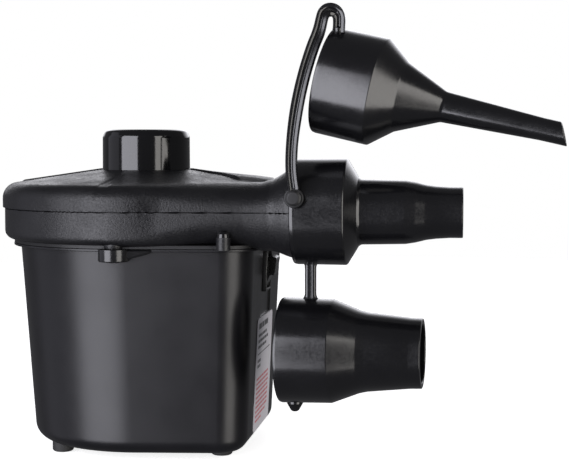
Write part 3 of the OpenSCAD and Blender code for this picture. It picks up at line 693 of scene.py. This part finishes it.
lower = skin("head_lower", lower_field,
             (-HEAD_R - 1.13, -HEAD_R - 1.17, PARTING_Z - 16.33),
             (SPIGOT_END_X + 1.1, HEAD_R + 1.1, PARTING_Z + 0.77), GRID)
place(lower, "pump", "head_plastic", ("lower_shell",))

# The moulded pip beside the neck, a polished dome on a short grained post
pip_place = Matrix.Translation((35.5, -44.0, HEAD_BOTTOM_Z))
pip_profile = round_profile([(0, 4.0), (2.3, 4.0), (2.1, 5.2), (1.5, 6.0), (0, 6.35)],
                            [0, 0.05, 1.0, 1.0, 0])
place(lathe("head_pip", pip_profile, pip_place, 40), "pump", "gloss_black")
place(lathe("head_pip_post", [(0, 0), (2.28, 0), (2.28, 3.99), (0, 3.99)], pip_place, 40),
      "pump", "head_plastic")

# ---------------------------------------------------------------- inlet collar and grille

collar_points = [
    (12.8, 91.2), (16.6, 91.2), (16.6, 92.8), (15.15, 92.8), (15.2, 96.0),
    (15.15, COLLAR_TOP_Z - 2.5), (14.3, COLLAR_TOP_Z - 0.5), (12.95, COLLAR_TOP_Z),
    (12.8, COLLAR_TOP_Z - 0.3),
]
collar_radii = [0.2, 0.2, 0.2, 0.1, 0.8, 2.4, 1.4, 0.2, 0.1]
collar = lathe("inlet_collar_gloss",
               round_profile(collar_points, collar_radii, 8), None, 160)
place(weighted(collar), "pump", "gloss_black", ("inlet_collar",))


def grille():
    """Spoked guard with three rings, its bars rounded on top."""
    top = GRILLE_Z + 1.6
    pieces = []
    for outer, inner in ((12.72, 11.6), (8.4, 7.4), (3.6, 1.2)):
        profile = round_profile(
            [(inner, GRILLE_Z), (outer, GRILLE_Z), (outer, top), (inner, top), (inner, GRILLE_Z)],
            [0, 0.1, 0.4, 0.4, 0], 3)
        pieces.append(lathe("grille_ring", profile[:-1], None, 96))
    for k in range(6):
        spoke = rounded_box("grille_bar", (3.2, -0.6, GRILLE_Z), (12.0, 0.6, top), 0.3)
        spoke.data.transform(Matrix.Rotation(math.radians(60 * k), 4, "Z"))
        pieces.append(spoke)
    return join("inlet_guard", pieces)


place(grille(), "pump", "gloss_black", ("inlet_grille",))

# ---------------------------------------------------------------- motor case

# Outline of the case, each value at its bottom and at its top
BACK_R = (38.6, 42.7)
BACK_X = (0, -0.6)
CORNER_R = (10, 11)
CORNER_X = (30, 32)
CORNER_Y = (25.5, 29)
FRONT_X = (CORNER_X[0] + CORNER_R[0], CORNER_X[1] + CORNER_R[1])
CASE_FILLET = 5.0
FLANGE_Z = CASE_TOP_Z + 1.1
PANEL_HALF = 10.6
PANEL_LOW, PANEL_HIGH = 45.2, 68.2
PANEL_DEEP = 0.6
FRONT_TALL = 66.0
FRONT_TILT = math.atan((FRONT_X[1] - FRONT_X[0]) / FRONT_TALL)


def case_share(z):
    """How far up the case a height is, from 0 at the bottom to 1 at the top."""
    return (z - CASE_BOTTOM_Z) / (CASE_TOP_Z - CASE_BOTTOM_Z)


def at_height(pair, z):
    """The value at height z between one at the bottom of the case and one at its top."""
    return pair[0] + (pair[1] - pair[0]) * case_share(z)


def case_ring(z, grow, recess=0.0):
    """Outline points of the case at height z, all rings with the same columns.

    The back is an arc about (shift, 0), the front is flat with corners of radius cr about
    (cx, cy) and (cx, -cy). recess sets the switch panel back from the front.
    """
    radius = at_height(BACK_R, z) + grow
    shift = at_height(BACK_X, z)
    cx, cy = at_height(CORNER_X, z), at_height(CORNER_Y, z)
    cr = at_height(CORNER_R, z) + grow
    front = cx + cr
    tangent = math.acos(min(1, (radius - cr) / math.hypot(cx - shift, cy)))
    tangent += math.atan2(cy, cx - shift)
    side = []
    for k in range(13):
        a = tangent * k / 12
        side.append((cx + cr * math.cos(a), cy + cr * math.sin(a)))
    start = np.array(side[-1])
    end = np.array((shift + radius * math.cos(tangent), radius * math.sin(tangent)))
    for k in range(1, 8):
        side.append(tuple(start + (end - start) * k / 8))
    for k in range(41):
        a = tangent + (math.pi - tangent) * k / 40
        side.append((shift + radius * math.cos(a), radius * math.sin(a)))
    rows = [0, 2.5, 5, 7.5, 9.5, PANEL_HALF - 0.18, PANEL_HALF, 11.5, 14, 17, 20, 23]
    flat = [(front - (recess if y < PANEL_HALF - 0.1 else 0), y) for y in rows if y < cy - 0.3]
    while len(flat) < len(rows):
        flat.append((front, flat[-1][1] + (cy - flat[-1][1]) * 0.5))
    far = flat + side
    near = [(x, -y) for x, y in far[1:-1]]
    return [(x, y, z) for x, y in far] + [(x, y, z) for x, y in reversed(near)]


def make_plate():
    """The flat closing plate under the bowl, with the same outline as the case flange."""
    rings = []
    for z, grow in ((0.02, -6), (0.02, 2.2), (0.12, 2.35), (1.1, 2.35), (1.3, 2.2), (1.35, -6)):
        rings.append([(x, y, HEAD_BOTTOM_Z + z) for x, y, _ in case_ring(CASE_TOP_Z, grow)])
    return ring_prism("head_plate", rings)


def make_case():
    """The case: filleted floor, tapered wall with the switch panel, thin flange, hollow."""
    rings = []
    for a in range(0, 91, 9):
        t = math.radians(a)
        rings.append(case_ring(CASE_BOTTOM_Z + CASE_FILLET * (1 - math.cos(t)),
                               -CASE_FILLET * (1 - math.sin(t))))
    for z in (9.5, 12, 16, 20, 25, 30, 35, 40, PANEL_LOW):
        rings.append(case_ring(z, 0))
    for z in (PANEL_LOW + 0.18, 50, 55, 60, 64, PANEL_HIGH - 0.18):
        rings.append(case_ring(z, 0, PANEL_DEEP))
    rings.append(case_ring(PANEL_HIGH, 0))
    for up, grow in ((0, 0), (0.02, 2.15), (0.12, 2.33), (0.3, 2.4), (0.6, 2.4), (0.78, 2.33),
                     (0.87, 2.1), (0.88, -WALL)):
        rings.append(case_ring(FLANGE_Z + up, grow))
    for z in (60, 40, 20, CASE_BOTTOM_Z + WALL + 3):
        rings.append(case_ring(z, -WALL))
    rings.append(case_ring(CASE_BOTTOM_Z + WALL + 0.8, -WALL - 1.2))
    rings.append(case_ring(CASE_BOTTOM_Z + WALL, -WALL - 3))
    return ring_prism("case_shell", rings)


def cut_out(obj, cutters):
    """Subtracts closed cutters from obj for good."""
    tool = join("cutters", cutters)
    modifier = obj.modifiers.new("cut", "BOOLEAN")
    modifier.operation = "DIFFERENCE"
    modifier.solver = "EXACT"
    modifier.use_self = True
    modifier.object = tool
    graph = bpy.context.evaluated_depsgraph_get()
    mesh = bpy.data.meshes.new_from_object(obj.evaluated_get(graph))
    obj.modifiers.clear()
    obj.data = mesh
    bpy.data.objects.remove(tool)
    shade(mesh, 30)
    return obj


def on_front(z):
    """Frame on the tilted flat front at height z, local +X out of the case."""
    base = Matrix.Translation((at_height(FRONT_X, z), 0, z))
    return base @ Matrix.Rotation(FRONT_TILT, 4, "Y")


ROCKER_Z = 60.7
case = make_case()
slots = [rounded_box("slot", (x - 1.3, -13, -2), (x + 1.3, 13, 6), 0.6)
         for x in (-16, -8, 0, 8, 16)]
window = moved(rounded_box("window", (-6, -5.1, -6.9), (5, 5.1, 7.2), 0.2, 1), on_front(ROCKER_Z))
cut_out(case, slots + [window])
place(weighted(case), "pump", "case_plastic", ("motor_case",))

SIDE_NAMES = {-1: "near", 1: "far"}
EAR_TOP_Z = 70.45
WEB_Y = 42.2


def make_ear(side):
    """Round screw ear under the head's rim with its tapering web and its screw recess."""
    profile = round_profile(
        [(1.6, EAR_TOP_Z), (1.6, 67.7), (2.9, 67.7), (2.9, 66.5), (5.0, 66.5), (5.0, EAR_TOP_Z)],
        [0, 0.1, 0.15, 0.25, 0.5, 0], 4)
    ear = lathe("ear", profile, Matrix.Translation((0, side * EAR_Y, 0)), 64)
    rings = []
    for t in np.linspace(0, 1, 9):
        x = 2.6 + 9.6 * t
        drop = 3.7 * (1 - t) ** 0.8 * 0.72 + 1.0
        wide = 4.3 - 1.6 * t
        section = ((-1.2, 0), (wide - 0.7, 0), (wide, -0.5), (wide, -drop + 0.6),
                   (wide - 0.6, -drop), (-1.2, -drop))
        rings.append([(x, side * (WEB_Y + y), EAR_TOP_Z + z) for y, z in section])
    return join("case_ear_" + SIDE_NAMES[side], [ear, ring_prism("web", rings, 50)])


# Bosses of the bowl that the two assembly screws are driven into
boss_profile = round_profile([(0, 0), (3.0, 0), (3.3, 4.2), (0, 4.2)], [0, 0.2, 0.3, 0])
for boss_side, boss_name in SIDE_NAMES.items():
    boss = lathe("head_boss_" + boss_name, boss_profile,
                 Matrix.Translation((0, boss_side * EAR_Y, HEAD_BOTTOM_Z)), 40)
    place(boss, "pump", "head_plastic")

PLATE_SATIN = plastic("plate_satin", (0.0034, 0.0034, 0.0038), 0.45, 0.6, 0.01, 0.04, 0.3)
place(make_plate(), "pump", "head_plastic", material=PLATE_SATIN)

EAR_GLOSS = plastic("ear_gloss", (0.0032, 0.0032, 0.0036), 0.2, 0.6, 0.003, 0.04)
for ear_side in SIDE_NAMES:
    place(make_ear(ear_side), "pump", "case_plastic", material=EAR_GLOSS)


def make_feet():
    """Four round rubber feet with a rounded lower edge."""
    profile = round_profile([(0, 0), (3.6, 0), (3.6, 4.3), (0, 4.3)], [0, 0.9, 0.2, 0], 5)
    pieces = []
    for x, y in ((-24, 22.8), (-24, -22.8), (30.5, 20.8), (30.5, -20.8)):
        pieces.append(lathe("foot", profile, Matrix.Translation((x, y, 0)), 48))
    return join("feet", pieces)


place(make_feet(), "pump", "rubber_black", ("rubber_feet",))

# ---------------------------------------------------------------- label with a generic print

LABEL_LOW, LABEL_HIGH, LABEL_HALF = 6.2, 45.0, 16.4
LABEL_MID = (LABEL_LOW + LABEL_HIGH) / 2
PRINT_X0, PRINT_X1 = 0.235, 0.262


def rounded_rect(half_w, half_h, r, steps=6):
    """Outline points of a rectangle with rounded corners."""
    out = []
    for cx, cy, a0 in ((half_w - r, half_h - r, 0), (-half_w + r, half_h - r, 90),
                       (-half_w + r, -half_h + r, 180), (half_w - r, -half_h + r, 270)):
        for k in range(steps + 1):
            a = math.radians(a0 + 90 * k / steps)
            out.append((cx + r * math.cos(a), cy + r * math.sin(a)))
    return out


def plate(name, outline, x0, x1):
    """A thin plate in the local YZ plane between two local X."""
    return ring_prism(name, [[(x, y, z) for y, z in outline] for x in (x0, x1)])


label_outline = rounded_rect(LABEL_HALF, (LABEL_HIGH - LABEL_LOW) / 2, 2.0)
label = moved(plate("rating_label", label_outline, 0.05, 0.24), on_front(LABEL_MID))
place(label, "pump", "label_film", ("label_plate",))


def bar(y0, y1, z0, z1):
    """One printed bar, a little proud of the film."""
    return plate("bar", [(y0, z0), (y1, z0), (y1, z1), (y0, z1)], PRINT_X0, PRINT_X1)


def print_rows(name, rows):
    """Bars in rows of (z, height, indent, lengths, gap between the bars)."""
    pieces = []
    for z, height, indent, lengths, gap in rows:
        y = -LABEL_HALF + indent
        for length in lengths:
            pieces.append(bar(y, y + length, z - height / 2, z + height / 2))
            y += length + gap
    return moved(join(name, pieces), on_front(LABEL_MID))


DARK_ROWS = [
    (16.6, 1.9, 3.2, (6.0, 4.2, 7.4), 0.9),
    (13.4, 1.0, 3.2, (4.4, 3.0, 5.2, 2.6), 0.7),
    (11.4, 1.0, 3.2, (3.0, 5.4, 2.4, 4.0, 3.2), 0.7),
    (9.4, 1.0, 3.2, (5.2, 2.6, 4.4, 3.0), 0.7),
    (7.0, 0.35, 3.2, (25.6,), 0.7),
    (4.6, 1.0, 3.2, (2.2, 3.4), 0.7),
    (2.8, 1.0, 3.2, (3.2, 2.2), 0.7),
]
RED_ROWS = [
    (z, 0.75, 2.6, lengths, 0.6)
    for z, lengths in zip(
        (-1.6, -3.2, -4.8, -6.4, -8.0, -9.6, -11.2, -12.8, -14.4, -16.0),
        ((6, 3, 4.4, 7, 2.2), (3, 7.4, 2.2, 5, 5), (8, 2.6, 4, 3, 5.4), (2.4, 5.6, 3.4, 6.6, 4),
         (5, 4, 2.4, 8.2, 3.4), (3.6, 3.4, 6.8, 2.6, 5.6), (7.2, 2.2, 3.8, 4.6, 4.6),
         (2.8, 6.4, 4.4, 2.6, 5.8), (4.6, 3.2, 7.6, 3.8), (5.4, 2.6, 3.2)))
]
INK_DARK = plastic("ink_dark", (0.05, 0.05, 0.055), 0.45, 0.3, 0.002, 0.05)
INK_RED = plastic("ink_red", (0.42, 0.10, 0.12), 0.45, 0.3, 0.002, 0.05)
place(print_rows("label_print_dark", DARK_ROWS), "pump", "label_film", material=INK_DARK)
place(print_rows("label_print_red", RED_ROWS), "pump", "label_film", material=INK_RED)

# ---------------------------------------------------------------- switch


def make_bezel():
    """Switch frame with a stepped rim round its opening."""
    outer = [(-0.55, 5.8, 7.6), (0.55, 5.8, 7.6), (0.82, 5.65, 7.45), (0.9, 5.35, 7.15)]
    inner = [(0.9, 4.6, 6.95), (0.78, 4.35, 6.75), (-7.4, 4.3, 6.7)]
    rings = []
    for x, half_w, up in outer + inner:
        down = up - 0.3
        mid, half = (up - down) / 2, (up + down) / 2
        rings.append([(x, y, z + mid) for y, z in rounded_rect(half_w, half, 0.8, 4)])
    block = rounded_box("block", (-11, -5, -6.8), (-7.6, 5, 7.1), 0.3)
    return moved(join("switch_bezel", [ring_prism("bezel", rings, 35), block]), on_front(ROCKER_Z))


place(make_bezel(), "pump", "switch_frame", ("switch_body",))


def make_rocker():
    """Rocker with a dished face, a raised grip end and its two trunnions."""
    profile = [(-2.4, -3.0), (2.4, -5.6), (2.9, -5.5), (3.55, -1.2), (4.2, -0.6), (4.9, -0.75),
               (5.0, 0.4), (4.65, 3.2), (4.5, 5.0), (4.15, 5.6), (2.6, 5.7), (-2.4, 3.0)]
    profile = round_profile(profile + profile[:1], [0] + [0.35] * (len(profile) - 1) + [0], 3)[:-1]
    rows = [(-4.1, 0.88), (-4.02, 0.97), (-3.8, 1.0), (-1.9, 1.0), (0, 1.0), (1.9, 1.0),
            (3.8, 1.0), (4.02, 0.97), (4.1, 0.88)]
    centre = np.array([1.4, 0.3])
    rings = []
    for y, size in rows:
        section = [centre + (np.array(p) - centre) * (1 - (1 - size) * 0.25) for p in profile]
        rings.append([(x, y, z) for x, z in section])
    body = ring_prism("rocker", rings, 45)
    pin = lathe("pin", [(0, -4.9), (0.8, -4.9), (1.0, -4.7), (1.0, 4.7), (0.8, 4.9), (0, 4.9)],
                Matrix.Rotation(math.radians(-90), 4, "X"), 32)
    rocker = join("rocker_cap", [body, pin])
    turn = on_front(ROCKER_Z) @ Matrix.Translation((-1.6, 0, 0))
    return moved(rocker, turn @ Matrix.Rotation(math.radians(12), 4, "Y"))


place(make_rocker(), "rocker", "switch_black", ("switch_rocker",))

# ---------------------------------------------------------------- nozzles
# Each profile runs along the outside from the socket's mouth to the tip, then back inside.

medium_outside = [
    (SOCKET_R + 0.35, 0), (SLEEVE_R - 0.35, 0.0), (SLEEVE_R - 0.1, 1.2), (SLEEVE_R, 16.9),
    (11.0, 20.5), (10.4, 21.4), (10.1, 35.5), (9.6, 38.6), (8.75, 42.0), (8.35, 45.0),
    (8.05, 49.5), (8.05, 53.5), (6.3, 53.5),
]
medium_inside = [
    (6.3, 43.7), (8.3, 36.2), (8.7, 20.6), (14.5, 17.2), (SOCKET_R, 16.0), (SOCKET_R, 0.3),
]
medium_radii = [0, 0.5, 0.3, 0.9, 0.6, 1.2, 4, 8, 8, 6, 3, 0.3, 0.2] + [0.4, 2, 1, 0.5, 0.5, 0]
medium = lathe("nozzle_medium", round_profile(medium_outside + medium_inside, medium_radii, 6),
               along_x(NECK_END_X, OUTLET_Y, PARTING_Z), 160, 32)
place(weighted(medium), "nozzle", "nozzle_plastic", ("medium_nozzle",))

on_large = along_mount("large_nozzle_tip", 43.6)
large_outside = [
    (SOCKET_R + 0.3, 0), (SLEEVE_R - 0.25, 0), (SLEEVE_R, 0.8), (SLEEVE_R - 0.35, 16.8),
    (13.25, 25.6), (12.7, 28.0), (11.3, 41.8), (11.2, 45.5), (9.4, 45.5),
]
large_inside = [(9.4, 42), (11.1, 26.5), (14.6, 17), (SOCKET_R, 16.0), (SOCKET_R, 0.3)]
large_radii = [0, 0.3, 0.8, 1.0, 4, 6, 3, 0.35, 0.3] + [0.5, 2, 1, 0.4, 0]
large = lathe("nozzle_large", round_profile(large_outside + large_inside, large_radii, 6),
              on_large, 160, 32)
place(weighted(large), "large_spare", "nozzle_plastic", ("large_nozzle",))

stub_profile = round_profile(
    [(0, 0.9), (2.6, 0.9), (2.6, -0.4), (1.35, -2.6), (0.8, -3.0), (0, -3.0)],
    [0, 0, 0.7, 0.8, 0.4, 0], 4)
stub_place = (on_large @ Matrix.Translation((SLEEVE_R, 0, 4.2))
              @ Matrix.Rotation(-QUARTER_TURN, 4, "Y"))
stub = lathe("large_stub", stub_profile, stub_place, 40)
place(stub, "large_spare", "nozzle_plastic")

on_small = along_mount("small_nozzle_tip", 74.26)
SMALL_CUT, SMALL_CUT_Z = 0.478, 76.85
small_outside = [
    (SOCKET_R + 0.3, 0), (SLEEVE_R - 0.25, 0), (SLEEVE_R - 0.05, 0.9), (SLEEVE_R, 17.8),
    (11.05, 25.2), (4.85, 38.9), (3.5, 70), (3.5, SMALL_CUT_Z), (2.3, SMALL_CUT_Z),
]
small_inside = [
    (2.2, 70), (3.3, 38.8), (9.1, 25.3), (14.5, 17.4), (SOCKET_R, 16.4), (SOCKET_R, 0.3),
]
small_radii = [0, 0.3, 0.8, 0.5, 2.5, 3, 30, 0.3, 0.3] + [20, 3, 2, 1, 0.4, 0]


def slant_tip(points):
    """Moves the end of the spout along its axis into an oblique cut."""
    share = np.clip((points[:, 2] - 72) / (SMALL_CUT_Z - 73), 0, 1)
    points[:, 2] += SMALL_CUT * points[:, 0] * share
    return points


small = lathe("nozzle_small", round_profile(small_outside + small_inside, small_radii, 6),
              on_small, 160, 32, slant_tip)
place(weighted(small), "small_spare", "nozzle_plastic", ("small_nozzle",))

# ---------------------------------------------------------------- straps


def h_section(w, t):
    """Outline of a strap of half width w and half thickness t with a groove on each side."""
    web = t * 0.55
    g = w * 0.32
    out = [
        (w, 0), (w * 0.99, t * 0.55), (w * 0.93, t * 0.86), (w * 0.84, t), (g + 0.16, t * 0.98),
        (g * 0.82, t * 0.8), (g * 0.5, web), (0, web * 0.94),
    ]
    out += [(-x, y) for x, y in reversed(out[:-1])]
    out += [(x, -y) for x, y in reversed(out[1:-1])]
    return out


# Middle line of the upper strap from the eyelet to the small nozzle, with its half width
strap_route = np.array([
    (59, -51.2, 89.9, 1.85), (58.1, -51, 96, 1.8), (58.2, -50, 104.2, 1.8), (59.2, -49, 113, 2),
    (60.4, -47.9, 120.1, 2), (62, -46.4, 127.2, 2), (64.1, -44.8, 134.4, 2),
    (65.8, -43.5, 138.7, 2), (66.7, -42.8, 143.3, 1.9), (67.1, -42.3, 144.6, 2),
    (68.1, -41.9, 145.6, 2.1), (69.4, -41.5, 145.8, 2.15), (70.7, -41.2, 145.4, 2.1),
    (71.6, -41, 144.3, 2), (71.9, -40.8, 143.1, 1.95), (71.8, -40.6, 140.8, 1.9),
    (71.7, -40.4, 138.9, 2.0),
])
strap_line = smooth_line(strap_route, 8)
strap = sweep("strap_upper", strap_line[:, :3],
              lambda i, t: h_section(strap_line[i, 3], 1.45 if t < 0.8 else 1.6))

eyelet_profile = round_profile([(1.6, -0.85), (3.1, -0.85), (3.1, 0.85), (1.6, 0.85)],
                               [0, 0.35, 0.35, 0], 4)
eyelet = lathe("strap_eyelet", eyelet_profile, towards_front(-51.25), 48)
place(eyelet, "small_spare", "nozzle_plastic", material=PLATE_SATIN)

peg_profile = round_profile(
    [(0, 0), (1.4, 0), (1.4, 3.7), (2.5, 3.75), (2.5, 4.1), (1.7, 4.5), (0, 4.5)],
    [0, 0.1, 0.1, 0.3, 0.3, 0.4, 0], 4)
peg = lathe("strap_peg", peg_profile, towards_front(-48.55), 40)
place(peg, "nozzle", "nozzle_plastic", material=PLATE_SATIN)

foot_profile = round_profile([(0, -0.4), (1.9, -0.3), (1.85, 0.7), (1.7, 1.4), (0, 1.6)],
                             [0, 0.3, 0.6, 0.4, 0], 4)
foot_place = (on_small @ Matrix.Rotation(math.radians(20), 4, "Z")
              @ Matrix.Translation((-SLEEVE_R, 0, 2)) @ Matrix.Rotation(-QUARTER_TURN, 4, "Y"))
strap_foot = lathe("strap_foot", foot_profile, foot_place, 40)
place(strap_foot, "small_spare", "nozzle_plastic")
place(strap, "small_spare", "nozzle_plastic", ("upper_tether",))


def lower_strap():
    """Twin-rod strap between the fitted nozzle and the large one, flared at both ends."""
    x, y = 62.0, OUTLET_Y
    top, bottom = 65.6, LARGE_Z + SLEEVE_R - 0.3
    line = [(x, y, z) for z in np.linspace(bottom, top, 22)]

    def outline(i, t):
        end = max(0, 1 - t / 0.16) ** 2 * 0.5 + max(0, (t - 0.88) / 0.12) ** 2 * 0.25
        rod = 0.86 + end
        gap = 1.0 + end * 0.4
        points = []
        for sx in (1, -1):
            for k in range(9):
                a = math.radians(-112 + 224 * k / 8)
                points.append((sx * (gap + rod * math.cos(a)), sx * rod * math.sin(a)))
        return points

    return sweep("strap_lower", line, outline)


place(lower_strap(), "large_spare", "nozzle_plastic", ("lower_tether",))

# ---------------------------------------------------------------- stage, light and camera

FLOOR_RADIUS = 0.62
FLOOR_CENTRE = (0.05, 0.2)
FLOOR_BELOW_FEET = 0.0002


def make_stage():
    """A round pale floor just under the feet; it sends no light up onto the object."""
    bm = bmesh.new()
    bmesh.ops.create_circle(bm, cap_ends=True, segments=128, radius=FLOOR_RADIUS)
    mesh = bpy.data.meshes.new("floor")
    bm.to_mesh(mesh)
    bm.free()
    floor = link_object("floor", mesh)
    floor.location = (*FLOOR_CENTRE, GROUND_Z * MM - FLOOR_BELOW_FEET)
    floor.visible_diffuse = False
    floor.visible_glossy = False
    floor.visible_shadow = False
    material, tree, shader, co = new_material("floor_white")
    grain = noise(tree, co, 40.0, 2.0)
    tree.links.new(blend_colours(tree, grain, (0.9, 0.9, 0.9), (0.93, 0.93, 0.93)),
                   shader.inputs["Base Color"])
    shader.inputs["Roughness"].default_value = 0.9
    shader.inputs["Specular IOR Level"].default_value = 0.1
    shader.inputs["Emission Color"].default_value = (1, 1, 1, 1)
    shader.inputs["Emission Strength"].default_value = 0.8
    mesh.materials.append(material)


ROOM_DIM, ROOM_BAND = 0.13, 2.4


def make_world():
    """White to the camera; to the object a dim room with a bright low band at the back."""
    world = bpy.data.worlds.new("studio")
    world.use_nodes = True
    tree = world.node_tree
    tree.nodes.clear()
    out = tree.nodes.new("ShaderNodeOutputWorld")
    seen = tree.nodes.new("ShaderNodeBackground")
    seen.inputs["Color"].default_value = (1, 1, 1, 1)
    seen.inputs["Strength"].default_value = 1.0
    room = tree.nodes.new("ShaderNodeBackground")
    coords = tree.nodes.new("ShaderNodeTexCoord")
    split = tree.nodes.new("ShaderNodeSeparateXYZ")
    tree.links.new(coords.outputs["Generated"], split.inputs[0])
    back = remap(tree, split.outputs["Y"], 0.7, 0.95, 0.0, 1.0)
    high = remap(tree, split.outputs["Z"], 0.3, 0.8, 1.0, 0.2)
    low = remap(tree, split.outputs["Z"], 0.045, 0.11, 0.0, 1.0)
    band = math_node(tree, "MULTIPLY", math_node(tree, "MULTIPLY", back, high), low)
    tree.links.new(remap(tree, band, 0, 1, ROOM_DIM, ROOM_BAND), room.inputs["Strength"])
    room.inputs["Color"].default_value = (0.95, 0.95, 1.0, 1)
    path = tree.nodes.new("ShaderNodeLightPath")
    choose = tree.nodes.new("ShaderNodeMixShader")
    tree.links.new(path.outputs["Is Camera Ray"], choose.inputs[0])
    tree.links.new(room.outputs[0], choose.inputs[1])
    tree.links.new(seen.outputs[0], choose.inputs[2])
    tree.links.new(choose.outputs[0], out.inputs[0])
    bpy.context.scene.world = world


BOX_DISTANCE = 0.95
BOX_LOW, BOX_HIGH = -0.60, 0.72
BOX_TARGET = Vector((0.03, -0.01, (BOX_LOW + BOX_HIGH) / 2))


def softbox(name, azimuth, width, radiance, colour):
    """An upright area light round the object; azimuth in degrees from -Y towards +X."""
    tall = BOX_HIGH - BOX_LOW
    light = bpy.data.lights.new(name, "AREA")
    light.shape = "RECTANGLE"
    light.size, light.size_y = width, tall
    light.energy = radiance * math.pi * width * tall
    light.color = colour
    obj = link_object(name, light)
    a = math.radians(azimuth)
    obj.location = BOX_TARGET + Vector((math.sin(a), -math.cos(a), 0)) * BOX_DISTANCE
    obj.rotation_euler = (BOX_TARGET - obj.location).to_track_quat("-Z", "Y").to_euler()
    obj.visible_camera = False


CAMERA_AT = (0.1157, -0.470, 0.1031)
CAMERA_YAW, CAMERA_PITCH = math.radians(8.1), math.radians(3.46)


def make_camera():
    """The camera at the photograph's viewing angle."""
    data = bpy.data.cameras.new("camera")
    data.sensor_width = 36.0
    data.lens = 86.9
    data.clip_start, data.clip_end = 0.01, 20
    camera = link_object("camera", data)
    level = math.cos(CAMERA_PITCH)
    look = Vector((-math.sin(CAMERA_YAW) * level, math.cos(CAMERA_YAW) * level,
                   -math.sin(CAMERA_PITCH)))
    camera.location = CAMERA_AT
    camera.rotation_mode = "QUATERNION"
    camera.rotation_quaternion = look.to_track_quat("-Z", "Y")
    bpy.context.scene.camera = camera


make_stage()
make_world()
softbox("box_far_left", -84, 0.7, 0.45, (0.88, 0.88, 1.0))
softbox("box_left", -33.0, 0.76, 6.6, (0.92, 0.92, 1.0))
softbox("box_right", 53, 0.60, 4.4, (1.0, 0.97, 0.93))
make_camera()
bpy.context.scene.view_settings.view_transform = "Standard"
